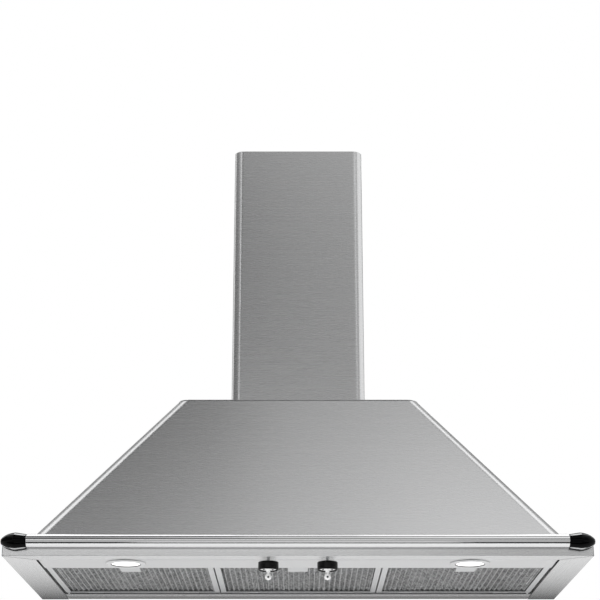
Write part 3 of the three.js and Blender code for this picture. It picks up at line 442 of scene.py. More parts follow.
def apply_modifier(piece, kind, **values):
    """Adds one modifier to a piece and applies it."""
    pick_up(piece)
    modifier = piece.modifiers.new(kind.lower(), kind)
    for key, value in values.items():
        setattr(modifier, key, value)
    bpy.ops.object.modifier_apply(modifier=modifier.name)


def hand_over(piece, body, material, slot, *replaced, smooth=35):
    """Shades a finished piece, gives it its material and lets it ride on its body."""
    pick_up(piece)
    piece.data.materials.clear()
    piece.data.materials.append(material)
    for face in piece.data.polygons:
        face.material_index = 0
    bpy.ops.object.shade_smooth_by_angle(angle=math.radians(smooth))
    apply_modifier(piece, "WEIGHTED_NORMAL", keep_sharp=True, weight=100)
    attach(piece, body)
    if replaced:
        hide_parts(*replaced)


def narrow(face):
    """Whether a face is only a cut edge of the sheet."""
    return face.calc_area() / max(edge.calc_length() for edge in face.edges) < wide_face


def folded(edge):
    """Whether an edge is long and turns sharply."""
    return edge.is_manifold and edge.calc_length() > fold_length and edge.calc_face_angle() > fold_turn


def outside_fold(edge):
    """A long convex edge between two wide faces: the outside of a fold, not a cut edge."""
    return folded(edge) and edge.is_convex and not any(narrow(face) for face in edge.link_faces)


def inside_fold(edge):
    """A long hollow edge, the inside of a fold."""
    return folded(edge) and not edge.is_convex


def work_over(node, material, slot, edge=0.00025, folds=False, change=None):
    """A solid of the frame as it leaves the shop: flat faces whole, folds rounded, edges broken."""
    source = frame["nodes"][node]
    piece = bpy.data.objects.new(node + "_made", source.data.copy())
    bpy.context.scene.collection.objects.link(piece)
    choose(piece, "verts", lambda part: True)
    bpy.ops.mesh.customdata_custom_splitnormals_clear()
    bpy.ops.mesh.remove_doubles(threshold=0.00001)
    bpy.ops.mesh.dissolve_limited(angle_limit=math.radians(1))
    if change:
        change(piece)
    if folds:
        if choose(piece, "edges", outside_fold):
            bpy.ops.mesh.bevel(offset=fold_outside, segments=4, affect="EDGES", clamp_overlap=True)
        if choose(piece, "edges", inside_fold):
            bpy.ops.mesh.bevel(offset=fold_inside, segments=2, affect="EDGES", clamp_overlap=True)
    if edge:
        apply_modifier(
            piece, "BEVEL", width=edge, segments=2, limit_method="ANGLE", angle_limit=fold_turn,
            use_clamp_overlap=True, harden_normals=False,
        )
    hand_over(piece, source["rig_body"], material, slot, node)


zinc_coat = zinc("zinc_coat")
for node in ("back_panel", "hook_left", "hook_right"):
    work_over(node, zinc_coat, "galvanised_steel")

# ------------------------------------------------------------------ rim
# The rim is the frame round the underside: four members folded from 1.2 mm brushed stainless sheet,
# mitred at the front corners. Its front face carries the rail, and its top flange the canopy.

grain_scale = 2200
rough_spread = 0.012  # added and taken away along the grain
shade_spread = 0.015


def brushed(name, grain, base, rough, direction=0.6):
    """Brushed stainless. The grain runs level round the faces, or along one axis of the piece."""
    made, nodes, links, shader = new_material(name, base, 1, rough)
    stretch = {"level": (3, 3, 1000), "x": (3, 1000, 1000), "y": (1000, 3, 1000)}[grain]
    stretch = [value / 1000 for value in stretch]
    fine = pattern(nodes, links, "ShaderNodeTexNoise", grain_scale, stretch, Detail=2, Roughness=0.6)
    broad = pattern(nodes, links, "ShaderNodeTexNoise", grain_scale / 8, stretch, Detail=2)
    both = nodes.new("ShaderNodeMix")
    both.inputs["Factor"].default_value = 0.25
    links.new(fine.outputs["Fac"], both.inputs["A"])
    links.new(broad.outputs["Fac"], both.inputs["B"])
    grain_value = both.outputs["Result"]
    dark, light = ([value * share for value in base] for share in (1 - shade_spread, 1 + shade_spread))
    tint(nodes, links, grain_value, shader.inputs["Base Color"], dark, light)
    vary(nodes, links, grain_value, shader.inputs["Roughness"], rough - rough_spread, rough + rough_spread)
    emboss(nodes, links, fine.outputs["Fac"], shader, 0.01, 0.00001)
    shader.inputs["Anisotropic"].default_value = direction
    shader.inputs["Anisotropic Rotation"].default_value = 0.25
    along = nodes.new("ShaderNodeVectorMath")
    if grain == "level":
        facing = nodes.new("ShaderNodeNewGeometry")
        along.operation = "CROSS_PRODUCT"
        along.inputs[0].default_value = (0, 0, 1)
        links.new(facing.outputs["Normal"], along.inputs[1])
    else:
        along.operation = "NORMALIZE"
        along.inputs[0].default_value = (1, 0, 0) if grain == "x" else (0, 1, 0)
    links.new(along.outputs["Vector"], shader.inputs["Tangent"])
    return made


steel_colour = (0.68, 0.682, 0.686)
mitre_opening = 0.0009  # each member is drawn back this much where it meets the next
lip_opening = 0.0011
lip_height = 0.0145  # above the underside
lip_sheet = 0.0014  # the lip's thickness and a little more
corner_reach = 0.01  # from the ends and the front of the rim
corner_drop = 0.006
bead_front, bead_rear = -0.054, -0.046
bead_depth = 0.0009
bead_drop = 0.0012
flat_slack = 0.0005  # faces this near the lowest point belong to the underside
pressed_height = 0.0008  # what is pressed down reaches this far above the bead

rim_low, rim_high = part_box("rim_front")
rim_floor = rim_low.z


def draw_back(piece, wanted, step):
    """Moves the faces that are wanted by a step."""
    if choose(piece, "faces", wanted):
        bpy.ops.transform.translate(value=step)


def lower_corners(piece):
    """Lowers the upper outer corners at the front, which the caps of the rail cover."""
    choose(
        piece, "verts",
        lambda part: abs(part.co.x) > rim_high.x - corner_reach and part.co.y < rim_low.y + corner_reach
        and part.co.z > rim_high.z - corner_reach,
    )
    bpy.ops.transform.translate(value=(0, 0, -corner_drop))


def open_front_mitres(piece):
    """Draws both mitred ends of the front member back from the side members."""
    lower_corners(piece)
    for side in (-1, 1):
        draw_back(
            piece, lambda part: part.normal.x * side > 0.5 and part.normal.y > 0.5,
            (-side * mitre_opening, 0, 0),
        )


def open_side_mitre(piece):
    """Opens the mitre, and draws the inner lip back from the panel and the filters."""
    lower_corners(piece)
    draw_back(piece, lambda part: abs(part.normal.x) > 0.5 and part.normal.y < -0.5, (0, mitre_opening, 0))
    lip_x = min(abs(vertex.co.x) for vertex in piece.data.vertices)
    outward = math.copysign(lip_opening, piece.data.vertices[0].co.x)
    choose(
        piece, "verts",
        lambda part: abs(part.co.x) < lip_x + lip_sheet and part.co.z < rim_floor + lip_height,
    )
    bpy.ops.transform.translate(value=(outward, 0, 0))


def press_bead(piece):
    """A shallow bead along the underside of the rear rail, which is pressed down a little."""
    for place in (bead_front, bead_rear):
        choose(piece, "faces", lambda part: True)
        bpy.ops.mesh.bisect(plane_co=(0, place, 0), plane_no=(0, 1, 0))
    lowest = min(vertex.co.z for vertex in piece.data.vertices)

    def under_bead(face):
        middle = face.calc_center_median()
        return face.normal.z < -0.9 and bead_front < middle.y < bead_rear and middle.z < lowest + flat_slack

    choose(piece, "faces", under_bead)
    bpy.ops.mesh.extrude_region_move(TRANSFORM_OT_translate={"value": (0, 0, bead_depth)})
    choose(piece, "verts", lambda part: part.co.z < lowest + bead_depth + pressed_height)
    bpy.ops.transform.translate(value=(0, 0, -bead_drop))


rim_steel_x = brushed("rim_steel_front", "x", steel_colour, 0.27, direction=0.5)
rim_steel_y = brushed("rim_steel_side", "y", steel_colour, 0.27, direction=0.5)
work_over("rim_front", rim_steel_x, "brushed_steel", folds=True, change=open_front_mitres)
work_over("rim_left", rim_steel_y, "brushed_steel", folds=True, change=open_side_mitre)
work_over("rim_right", rim_steel_y, "brushed_steel", folds=True, change=open_side_mitre)
work_over("rim_back", rim_steel_x, "brushed_steel", folds=True, change=press_bead)

# ------------------------------------------------------------------ front rail
# A half-round stainless profile runs along the front of the rim, finely ground and brighter than
# the sheet. The flat back lies on the rim, and the end caps close it.

rail_low, rail_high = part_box("front_rail")
rail_middle = (rail_low + rail_high) / 2
rail_size = rail_high - rail_low
rail_back = rail_high.y
rail_drop = 0.0009  # below the middle of its box


def put_in_place(piece):
    """Moves a piece's place and size into its mesh."""
    pick_up(piece)
    bpy.ops.object.transform_apply(location=True, rotation=True, scale=True)


bpy.ops.object.select_all(action="DESELECT")
bpy.ops.mesh.primitive_cylinder_add(
    vertices=72, radius=1, depth=1, end_fill_type="NGON",
    location=(rail_middle.x, rail_back, rail_middle.z - rail_drop), rotation=(0, math.pi / 2, 0),
)
rail = bpy.context.object
rail.name = "rail_profile"
rail.scale = (rail_size.z / 2, rail_size.y, rail_size.x)
put_in_place(rail)
choose(rail, "faces", lambda part: True)
bpy.ops.mesh.bisect(plane_co=(0, rail_back, 0), plane_no=(0, 1, 0), use_fill=True, clear_outer=True)
apply_modifier(rail, "BEVEL", width=0.0006, segments=2, limit_method="ANGLE", angle_limit=fold_turn)
rail_steel = brushed("rail_steel", "x", (0.74, 0.743, 0.748), 0.1, direction=0.35)
hand_over(rail, "housing", rail_steel, "rail_steel", "front_rail")

# ------------------------------------------------------------------ end caps
# Each end of the rail has a cap moulded in glossy black. It flares a little from the rail's section,
# then closes in a long curve to a small blunt tip beyond the side of the rim.
# Two thin bright chrome strips along each cap's upper and lower flanks are painted highlight, for the
# highlight lines of a glossy cap.

cap_low, cap_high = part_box("end_cap_left")
cap_length = cap_high.x - cap_low.x
cap_height = rail_middle.z - 0.0013
cap_flatness = 0.62  # its height against its reach
cap_highlight_bands = ((34, 45), (-67, -56))  # degrees above the level through its middle, where the strips of painted highlight lie
cap_rims = (0.0012, 0.0009)  # width of the ring round the tip, and round the flat end
highlight_strip_sheet = 0.0003
# Along the cap from the rail: share of its length, half height and reach in millimetres
cap_form = (
    (0.0, 14.0, 22.4), (0.2, 15.3, 24.0), (0.38, 16.9, 26.0), (0.43, 17.1, 26.4), (0.5, 16.8, 26.0),
    (0.665, 15.1, 23.6), (0.78, 12.9, 20.4), (0.915, 8.9, 14.4), (0.98, 5.3, 9.0), (1.0, 3.4, 6.0),
)


def end_cap(name, side, node):
    """side is -1 for the left cap and 1 for the right one."""
    centre = (-side * cap_high.x, rail_back, cap_height)
    bpy.ops.object.select_all(action="DESELECT")
    bpy.ops.mesh.primitive_circle_add(
        vertices=32, radius=1, fill_type="NOTHING", location=centre, rotation=(0, math.pi / 2, 0),
    )
    cap = bpy.context.object
    cap.name = name
    cap.scale = (cap_form[0][1] / 1000, cap_form[0][2] / 1000, 1)
    put_in_place(cap)
    choose(cap, "edges", lambda part: True)
    for (share, high, reach), (last_share, last_high, last_reach) in zip(cap_form[1:], cap_form):
        bpy.ops.mesh.extrude_region_move(
            TRANSFORM_OT_translate={"value": (side * (share - last_share) * cap_length, 0, 0)}
        )
        bpy.ops.transform.resize(value=(1, reach / last_reach, high / last_high), center_override=centre)
    bpy.ops.mesh.edge_face_add()
    bpy.ops.mesh.inset(thickness=cap_rims[0])
    choose(cap, "edges", lambda part: part.is_boundary)
    bpy.ops.mesh.edge_face_add()
    bpy.ops.mesh.inset(thickness=cap_rims[1])
    choose(cap, "faces", lambda part: True)
    bpy.ops.mesh.normals_make_consistent(inside=False)

    def on_highlight_band(face):
        """Whether a face lies in one of the two bands of painted highlight along the cap, and not on its
        ends.
        """
        middle = face.calc_center_median()
        angle = math.degrees(math.atan2((middle.z - cap_height) / cap_flatness, rail_back - middle.y))
        return any(low < angle < high for low, high in cap_highlight_bands) and abs(face.normal.x) < 0.93

    # The faces in the two bands are copied into thin bright chrome strips: painted highlight.
    choose(cap, "faces", on_highlight_band)
    bpy.ops.mesh.duplicate()
    bpy.ops.mesh.separate(type="SELECTED")
    bpy.ops.object.mode_set(mode="OBJECT")
    line = [piece for piece in bpy.context.selected_objects if piece is not cap][0]
    line.name = name + "_line"
    for piece in (cap, line):
        apply_modifier(piece, "SUBSURF", levels=2, render_levels=2)
    apply_modifier(line, "SOLIDIFY", thickness=highlight_strip_sheet, offset=0.9)
    hand_over(line, "housing", painted_highlight_chrome, "bright_chrome")
    choose(cap, "faces", lambda part: True)
    bpy.ops.mesh.bisect(plane_co=(0, rail_back, 0), plane_no=(0, 1, 0), use_fill=True, clear_outer=True)
    hand_over(cap, "housing", cap_black, "black_gloss", node)


def finish(name, colour, metal, rough, grain, shades=None, relief=None, stretch=(1, 1, 1), **values):
    """A material whose roughness follows one noise, and so do its shades and relief where given."""
    made, nodes, links, shader = new_material(name, colour, metal, sum(rough) / 2)
    noise = pattern(nodes, links, "ShaderNodeTexNoise", grain, stretch, **{"Detail": 3, **values})
    value = noise.outputs["Fac"]
    vary(nodes, links, value, shader.inputs["Roughness"], *rough)
    if shades:
        tint(nodes, links, value, shader.inputs["Base Color"], *shades)
    if relief:
        emboss(nodes, links, value, shader, *relief)
    return made, nodes, links, shader


# Bright chrome for the caps' strips of painted highlight.
painted_highlight_chrome = finish("painted_highlight_chrome", (0.5, 0.505, 0.51), 1, (0.1, 0.15), 90, Detail=4)[0]
cap_black, nodes, links, shader = finish("cap_black", (0.001, 0.001, 0.0011), 0, (0.06, 0.12), 60, Detail=4)
shader.inputs["Specular IOR Level"].default_value = 0.05
orange_peel = pattern(nodes, links, "ShaderNodeTexNoise", 350, Detail=2)
emboss(nodes, links, orange_peel.outputs["Fac"], shader, 0.04, 0.0002)
end_cap("cap_left", -1, "end_cap_left")
end_cap("cap_right", 1, "end_cap_right")

# ------------------------------------------------------------------ canopy
# The canopy is folded from one sheet of brushed stainless: a sloping front and two sloping sides
# with wide soft bends between them, a flange on the rim below and one under the top plate.

shell_low, shell_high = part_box("canopy_shell")
top_low, top_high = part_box("canopy_top_plate")
canopy_sheet = 0.0014
canopy_bend = 0.0205  # from the corner to where each face starts, measured on the face
canopy_foot = 0.0095
canopy_head = 0.0115
flange_bend = 0.0016

canopy_steel = brushed("canopy_steel", "level", steel_colour, 0.27)


def start_block(name, low, high):
    """A block between two corners, to be cut and folded into a piece."""
    bpy.ops.object.select_all(action="DESELECT")
    bpy.ops.mesh.primitive_cube_add(size=1, location=[(a + b) / 2 for a, b in zip(low, high)])
    piece = bpy.context.object
    piece.name = name
    piece.scale = [b - a for a, b in zip(low, high)]
    put_in_place(piece)
    return piece


def rise_of(edge):
    """How much higher one end of an edge is than the other."""
    return abs(edge.verts[0].co.z - edge.verts[1].co.z)


canopy = start_block("canopy", shell_low, shell_high)
choose(canopy, "faces", lambda part: part.normal.z > 0.9)
bpy.ops.transform.resize(
    value=(top_high.x / shell_high.x, top_low.y / shell_low.y, 1), center_override=(0, 0, shell_high.z),
)
choose(canopy, "faces", lambda part: part.normal.y > 0.9)
bpy.ops.mesh.delete(type="FACE")
choose(canopy, "edges", lambda part: not part.is_boundary and rise_of(part) > 0.1)
bpy.ops.mesh.bevel(offset=canopy_bend, segments=16, profile=0.5, affect="EDGES", clamp_overlap=False)
choose(canopy, "faces", lambda part: part.normal.z < -0.9)
bpy.ops.mesh.inset(thickness=canopy_foot, use_boundary=False)
bpy.ops.mesh.delete(type="FACE")
choose(canopy, "faces", lambda part: part.normal.z > 0.9)
bpy.ops.mesh.inset(thickness=canopy_head, use_boundary=False)
bpy.ops.mesh.delete(type="FACE")
choose(
    canopy, "edges",
    lambda part: part.is_manifold and part.calc_face_angle() > fold_turn and rise_of(part) < 0.001,
)
bpy.ops.mesh.bevel(offset=flange_bend, segments=3, affect="EDGES")
apply_modifier(canopy, "SOLIDIFY", thickness=canopy_sheet, offset=-1, use_even_offset=True)
hand_over(canopy, "housing", canopy_steel, "brushed_steel", "canopy_shell")
work_over("canopy_top_plate", rim_steel_x, "brushed_steel")

# ------------------------------------------------------------------ panel with the lamps
# A stainless panel behind the front strip carries two round lamps and the two knobs. Each lamp has a
# turned steel ring with bevelled edges, a dark ring inside it that is painted shade for the gap between
# ring and lens, and a frosted lens lit from behind, set back in the ring, with a galvanised can above the
# panel.

panel_steel = brushed("panel_steel", "x", steel_colour, 0.36, direction=0.4)
panel_sheet = 0.0013  # the panel's thickness and a little more
panel_end = 0.0002  # faces this near the panel's ends are its ends
long_face = 0.0005  # square metres, more than the edges of the panel's holes have
seam_opening = 0.0009
end_opening = 0.0016
panel_low, panel_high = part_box("lamp_panel")


def open_seams(piece):
    """Draws the panel's face back from the strip in front of it and from the ones beside it."""
    for side in (-1, 1):
        draw_back(
            piece, lambda part: part.calc_center_median().x * side > panel_high.x - panel_end,
            (-side * end_opening, 0, 0),
        )

    def front_edge(face):
        low_enough = face.calc_center_median().z < panel_low.z + panel_sheet
        return face.normal.y < -0.9 and face.calc_area() > long_face and low_enough

    draw_back(piece, front_edge, (0, seam_opening, 0))


work_over("lamp_panel", panel_steel, "brushed_steel", edge=0.0002, change=open_seams)


def turn_round(name, centre, profile, steps, bevel=None, smooth_levels=0):
    """A round piece on an upright axis, spun from pairs of radius and height in millimetres."""
    bpy.ops.object.select_all(action="DESELECT")
    bpy.ops.mesh.primitive_plane_add(size=0.001, location=centre)
    piece = bpy.context.object
    piece.name = name
    put_in_place(piece)
    choose(piece, "verts", lambda part: True)
    bpy.ops.mesh.merge(type="CENTER")
    bpy.ops.transform.translate(value=(profile[0][0] / 1000, 0, profile[0][1] / 1000))
    for (radius, height), (last_radius, last_height) in zip(profile[1:], profile):
        step = ((radius - last_radius) / 1000, 0, (height - last_height) / 1000)
        bpy.ops.mesh.extrude_vertices_move(TRANSFORM_OT_translate={"value": step})
    bpy.ops.mesh.select_all(action="SELECT")
    bpy.ops.mesh.spin(steps=steps, angle=2 * math.pi, center=centre, axis=(0, 0, 1), use_auto_merge=True)
    bpy.ops.mesh.select_all(action="SELECT")
    bpy.ops.mesh.remove_doubles(threshold=0.000005)
    bpy.ops.mesh.normals_make_consistent(inside=False)
    if bevel:
        apply_modifier(
            piece, "BEVEL", width=bevel / 1000, segments=3, limit_method="ANGLE",
            angle_limit=math.radians(35),
        )
    if smooth_levels:
        apply_modifier(piece, "SUBSURF", levels=smooth_levels, render_levels=smooth_levels)
    return piece


lens_glow, nodes, links, shader = new_material("lens_glow", (0.95, 0.945, 0.93), 0, 0.35)
shader.inputs["Emission Color"].default_value = (1, 0.995, 0.98, 1)
frost = pattern(nodes, links, "ShaderNodeTexNoise", 700, Detail=3)
vary(nodes, links, frost.outputs["Fac"], shader.inputs["Emission Strength"], 0.8, 1.0)
emboss(nodes, links, frost.outputs["Fac"], shader, 0.2, 0.0003)

lamp_steps = 72
# The ring, the lens and the dark ring of painted shade between them as pairs of radius and height over the
# underside
ring_profile = (
    (28.4, -0.9), (28.4, -2.6), (28.8, -2.9), (36.6, -2.9), (38.0, -1.6), (38.0, -0.3),
    (33.7, -0.3), (33.7, 10.0), (31.9, 10.0), (31.9, -0.9), (28.4, -0.9),
)
lens_profile = (
    (0.0, -1.5), (11.0, -1.47), (20.0, -1.4), (25.0, -1.3), (27.3, -1.2),
    (27.3, -0.6), (31.6, -0.6), (31.6, 1.6), (0.0, 1.6),
)
gap_shade_profile = (
    (27.4, -0.8), (27.4, -2.5), (27.6, -2.7), (28.1, -2.7), (28.3, -2.5), (28.3, -0.8), (27.4, -0.8),
)
ring_steel = finish(
    "ring_steel", (0.7, 0.702, 0.705), 1, (0.26, 0.34), 420,
    shades=((0.68, 0.682, 0.685), (0.72, 0.722, 0.725)),
)[0]
grey_moulding = finish(
    "grey_moulding", (0.56, 0.565, 0.555), 0, (0.48, 0.62), 900,
    shades=((0.52, 0.525, 0.515), (0.58, 0.585, 0.575)), relief=(0.2, 0.0002),
)[0]
dark_moulding = finish(
    "dark_moulding", (0.03, 0.031, 0.033), 0, (0.42, 0.58), 900,
    shades=((0.024, 0.025, 0.027), (0.036, 0.037, 0.039)), relief=(0.25, 0.0002),
)[0]


def under(node):
    """Where the axis of a round node meets the level of the underside."""
    low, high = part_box(node)
    return ((low.x + high.x) / 2, (low.y + high.y) / 2, rim_floor)


for side in ("left", "right"):
    centre = under("lamp_bezel_" + side)
    ring = turn_round("lamp_ring_" + side, centre, ring_profile, lamp_steps, bevel=0.2)
    hand_over(ring, "housing", ring_steel, "bright_chrome", "lamp_bezel_" + side)
    lens = turn_round("lamp_window_" + side, centre, lens_profile, lamp_steps, bevel=0.15)
    hand_over(lens, "housing", lens_glow, "lamp_glass", "lamp_lens_" + side)
    # A dark ring between the steel ring and the lens: painted shade for the gap between them.
    gap_shade_ring = turn_round("lamp_gap_shade_" + side, centre, gap_shade_profile, lamp_steps)
    hand_over(gap_shade_ring, "housing", dark_moulding, "dark_plastic")
    work_over("lamp_housing_" + side, zinc_coat, "galvanised_steel")
work_over("lamp_driver", grey_moulding, "grey_plastic", edge=0.0008)

# ------------------------------------------------------------------ knobs
# Two rotary knobs hang below the panel: a black skirt with a seat in its underside, and a chromed grip
# on a slim neck that ends in a ball with a small pointer hole. Seat and grip are coloured near white,
# a painted reflection of the white studio in their chrome.

skirt_profile = (
    (0.0, -1.4), (18.2, -1.4), (19.2, -2.4), (19.25, -13.4), (18.8, -15.6), (18.2, -16.9), (17.6, -17.0),
    (17.3, -16.2), (17.3, -13.2), (0.0, -13.2), (0.0, -1.4),
)
grip_profile = (
    (0.0, -13.4), (15.9, -13.5), (16.2, -14.3), (15.0, -15.1), (12.0, -15.5), (8.0, -15.7), (4.9, -15.9),
    (4.1, -16.8), (4.0, -19.4), (3.0, -20.6), (1.7, -21.3), (2.0, -22.4), (4.0, -24.6), (6.0, -27.0),
    (6.8, -29.0), (6.5, -31.2), (5.4, -33.0), (3.9, -34.3), (2.1, -35.0), (0.0, -35.2),
)
hole_radius = 0.0018
plug_depth = 0.004
pointer_place = (0, -0.0065, -0.0304)  # from where the knob's axis meets the underside
sink_place = (0.0083, -0.002, -0.0157)
pointer_sunk = 0.0016  # how far the black lies inside its hole
# how far the black lies inside each sink; that black is painted shade
sink_shade_sunk = 0.001
knob_black, nodes, links, shader = finish(
    "knob_black", (0.002, 0.002, 0.0021), 0, (0.18, 0.28), 500, relief=(0.08, 0.0002),
)
shader.inputs["Specular IOR Level"].default_value = 0.15
# Near white with little metal: painted reflection, for the white that the chrome grip mirrors.
grip_painted_reflection = finish(
    "grip_painted_reflection", (0.95, 0.95, 0.95), 0.2, (0.2, 0.3), 240, shades=((0.93, 0.93, 0.93), (0.97, 0.97, 0.97)),
)[0]

for knob in ("fan_knob", "light_knob"):
    centre = under(knob)
    skirt = turn_round(knob + "_skirt", centre, skirt_profile, 64, bevel=0.35)
    hand_over(skirt, knob, knob_black, "black_gloss", knob)
    skirt.visible_glossy = False  # the panel above it stays plain
    grip = turn_round(knob + "_handle", centre, grip_profile, 24, smooth_levels=2)
    # The black in the two sinks beside the neck stands for the shade in them: painted shade.
    for mark, place, turn, step in (
        ("pointer", pointer_place, math.pi / 2, (0, pointer_sunk, 0)),
        ("sink_left", (-sink_place[0], *sink_place[1:]), 0, (0, 0, sink_shade_sunk)),
        ("sink_right", sink_place, 0, (0, 0, sink_shade_sunk)),
    ):
        bpy.ops.object.select_all(action="DESELECT")
        bpy.ops.mesh.primitive_cylinder_add(
            vertices=24, radius=hole_radius, depth=plug_depth,
            location=[a + b for a, b in zip(centre, place)], rotation=(turn, 0, 0),
        )
        plug = bpy.context.object
        plug.name = knob + "_" + mark
        put_in_place(plug)
        apply_modifier(grip, "BOOLEAN", object=plug, operation="DIFFERENCE", solver="EXACT")
        choose(plug, "faces", lambda part: True)
        bpy.ops.transform.translate(value=step)
        hand_over(plug, knob, knob_black, "black_gloss")
    hand_over(grip, knob, grip_painted_reflection, "bright_chrome", knob + "_grip")
    work_over(knob.replace("knob", "switch_shaft"), zinc_coat, "galvanised_steel")
for node in ("fan_switch", "light_switch"):
    work_over(node, dark_moulding, "dark_plastic", edge=0.0006)

# ------------------------------------------------------------------ grease filters
# Three washable filters lift out. Each is a rolled aluminium frame round a pad of pleated expanded
# aluminium, with a spring latch in its front edge and two tongues that rest on the rear rail.

pleat_pitch = 0.0104
pleat_height = 0.0042
strand_cells_y = 52  # diamonds from front to rear
strand_width = 0.00055
strand_sheet = 0.00045
net_inset = 0.0005  # from the top of its box to the top of the pleats
crest_width = 0.0009
crest_below, crest_above = 0.0004, 0.0002  # how far a crest reaches past a pleat's lower edge

aluminium = finish(
    "rolled_aluminium", (0.66, 0.665, 0.67), 1, (0.3, 0.44), 300,
    shades=((0.62, 0.625, 0.63), (0.7, 0.705, 0.71)), relief=(0.1, 0.0001), stretch=(0.02, 1, 1),
)[0]
strand_aluminium = finish(
    "strand_aluminium", (0.36, 0.363, 0.367), 1, (0.34, 0.55), 90,
    shades=((0.075, 0.076, 0.077), (0.76, 0.763, 0.767)), stretch=(2.4, 1, 1), Roughness=0.7,
)[0]


def pleated_mesh(name, low, high):
    """Expanded metal: a grid turned into diamonds with a hole in each, folded into pleats with crests."""
    pleats = round((high.x - low.x) / pleat_pitch)
    middle = (low + high) / 2
    top = high.z - net_inset
    valley = top - pleat_height
    bpy.ops.object.select_all(action="DESELECT")
    bpy.ops.mesh.primitive_grid_add(
        x_subdivisions=2 * pleats, y_subdivisions=strand_cells_y, size=1,
        location=(middle.x, middle.y, high.z),
    )
    net = bpy.context.object
    net.name = name
    net.scale = (high.x - low.x, high.y - low.y, 1)
    put_in_place(net)
    choose(net, "faces", lambda part: True)
    bpy.ops.mesh.poke()
    tolerance = 0.00001

    def between_cells(edge):
        """Whether an edge parted two squares of the grid before they were poked."""
        if edge.is_boundary:
            return False
        one, other = edge.verts[0].co, edge.verts[1].co
        return abs(one.x - other.x) < tolerance or abs(one.y - other.y) < tolerance

    choose(net, "edges", between_cells)
    bpy.ops.mesh.dissolve_edges(use_verts=False)
    choose(net, "faces", lambda part: True)
    bpy.ops.mesh.inset(thickness=strand_width, use_individual=True)
    bpy.ops.mesh.delete(type="FACE")
    bpy.ops.object.mode_set(mode="OBJECT")
    for vertex in net.data.vertices:
        along = (vertex.co.x - low.x) / pleat_pitch
        vertex.co.z = top - pleat_height * (1 - abs(2 * (along % 1) - 1))
    apply_modifier(net, "SOLIDIFY", thickness=strand_sheet, offset=0, use_rim=True)
    first = low.x + pleat_pitch / 2
    crest = start_block(
        name + "_crest", (first - crest_width / 2, low.y, valley - crest_below),
        (first + crest_width / 2, high.y, valley + crest_above),
    )
    apply_modifier(crest, "BEVEL", width=0.0002, segments=1, limit_method="ANGLE")
    apply_modifier(
        crest, "ARRAY", count=pleats, use_relative_offset=False, use_constant_offset=True,
        constant_offset_displace=(pleat_pitch, 0, 0),
    )
    return net, crest


latch_front_share, latch_rear_share = 0.94, 1.07  # the new width of each end against the old
latch_slots = 0.0172  # half the width over the slots, which stay where the studs are


def square_up(piece):
    """Brings the two ends of a latch to nearly the same width, so that its sides are nearly parallel."""
    places = [vertex.co for vertex in piece.data.vertices]
    middle_x, middle_y = (
        (min(place[axis] for place in places) + max(place[axis] for place in places)) / 2 for axis in (0, 1)
    )
    for at_front, share in ((True, latch_front_share), (False, latch_rear_share)):
        choose(
            piece, "verts",
            lambda part: abs(part.co.x - middle_x) > latch_slots and (part.co.y < middle_y) == at_front,
        )
        bpy.ops.transform.resize(value=(share, 1, 1), center_override=(middle_x, 0, 0))


for side in ("left", "middle", "right"):
    body = "filter_" + side
    work_over("filter_frame_" + side, aluminium, "filter_aluminium", edge=0.0004)
    low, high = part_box("filter_mesh_" + side)
    net, crest = pleated_mesh("filter_net_" + side, low, high)
    hand_over(net, body, strand_aluminium, "filter_aluminium", "filter_mesh_" + side, smooth=20)
    hand_over(crest, body, aluminium, "filter_aluminium")
    work_over("filter_latch_" + side, aluminium, "filter_aluminium", edge=0.0003, change=square_up)

# ------------------------------------------------------------------ blower
# A centrifugal blower hangs under the top plate: a galvanised scroll with an inlet at each side, a
# wheel of forward-leaning blades, and a painted motor on a three-armed bracket.

for node in (
    "blower_scroll", "blower_side_left", "blower_side_right", "impeller", "motor_shaft", "motor_bracket",
    "blower_screw_left", "blower_screw_right",
):
    work_over(node, zinc_coat, "galvanised_steel", edge=0)
for node in ("inlet_ring_left", "inlet_ring_right"):
    work_over(node, dark_moulding, "dark_plastic", edge=0.0004)
motor_paint = finish(
    "motor_paint", (0.045, 0.05, 0.055), 0.1, (0.34, 0.48), 220,
    shades=((0.04, 0.045, 0.05), (0.052, 0.057, 0.062)), relief=(0.15, 0.0002), Detail=4,
)[0]
work_over("motor", motor_paint, "motor_paint", edge=0.001)

# ------------------------------------------------------------------ outlet and damper
# The outlet collar takes a 150 mm duct. Two half-round flaps on one pin fall shut when the blower
# is off, and the air lifts them.

for node in ("outlet_collar", "damper_pin", "damper_front", "damper_rear"):
    work_over(node, zinc_coat, "galvanised_steel", edge=0.0002)

# ------------------------------------------------------------------ chimney
# Two stainless covers hide the duct: a U of sheet with flanges along the wall, and a second one
# inside it that slides up to the ceiling. Feet on the top plate and a ceiling bracket hold them.

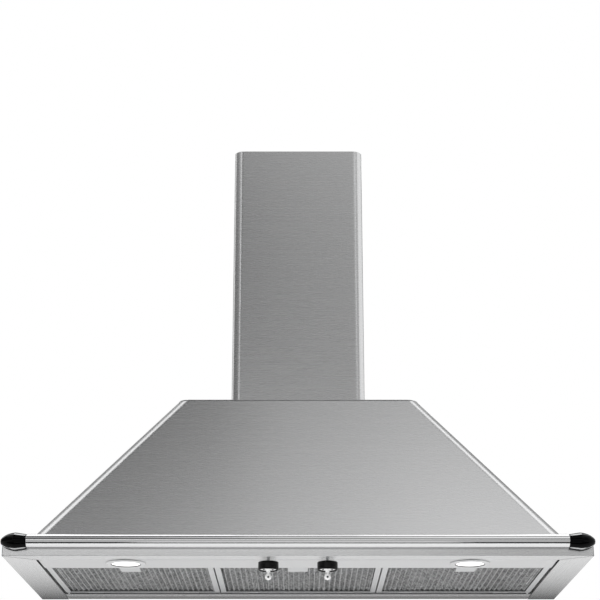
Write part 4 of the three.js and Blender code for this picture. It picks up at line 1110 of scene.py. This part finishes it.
chimney_steel = brushed("chimney_steel", "level", steel_colour, 0.27)
chimney_sheet = 0.001
chimney_return = 0.0155  # width of the flanges along the wall
chimney_bend = 0.02
return_bend = 0.0015


def chimney_cover(name, node, body):
    """A front and two sides of sheet with rounded bends between them, and a flange along each side."""
    low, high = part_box(node)
    cover = start_block(name, low, high)
    choose(cover, "faces", lambda part: part.normal.y > 0.9 or abs(part.normal.z) > 0.9)
    bpy.ops.mesh.delete(type="FACE")
    for side in (-1, 1):
        choose(
            cover, "edges",
            lambda part: all(end.co.y > high.y - 0.001 and end.co.x * side > 0 for end in part.verts),
        )
        bpy.ops.mesh.extrude_region_move(TRANSFORM_OT_translate={"value": (-side * chimney_return, 0, 0)})
    choose(cover, "edges", lambda part: not part.is_boundary and part.verts[0].co.y < low.y + 0.001)
    bpy.ops.mesh.bevel(offset=chimney_bend, segments=14, profile=0.5, affect="EDGES")
    choose(cover, "edges", lambda part: not part.is_boundary and part.calc_face_angle() > math.radians(60))
    bpy.ops.mesh.bevel(offset=return_bend, segments=3, affect="EDGES")
    choose(cover, "faces", lambda part: True)
    bpy.ops.mesh.normals_make_consistent(inside=False)
    faces = bmesh.from_edit_mesh(cover.data).faces
    front = min(faces, key=lambda face: face.calc_center_median().y)
    if front.normal.y > 0:
        bpy.ops.mesh.flip_normals()
    apply_modifier(cover, "SOLIDIFY", thickness=chimney_sheet, offset=-1, use_even_offset=True)
    hand_over(cover, body, chimney_steel, "brushed_steel", node)


chimney_cover("lower_cover", "chimney_lower", "housing")
chimney_cover("upper_cover", "chimney_upper", "chimney_upper")
for node in ("chimney_foot_left", "chimney_foot_right", "ceiling_bracket"):
    work_over(node, zinc_coat, "galvanised_steel")

# ------------------------------------------------------------------ wiring
# The mains cable comes through a gland in the top plate and ends in a terminal box on the back
# panel. The box and its cover are moulded in grey, the gland in black.

work_over("terminal_box", grey_moulding, "grey_plastic", edge=0.0006)
work_over("terminal_cover", grey_moulding, "grey_plastic", edge=0.0006)
work_over("cable_gland", dark_moulding, "dark_plastic", edge=0.0004)
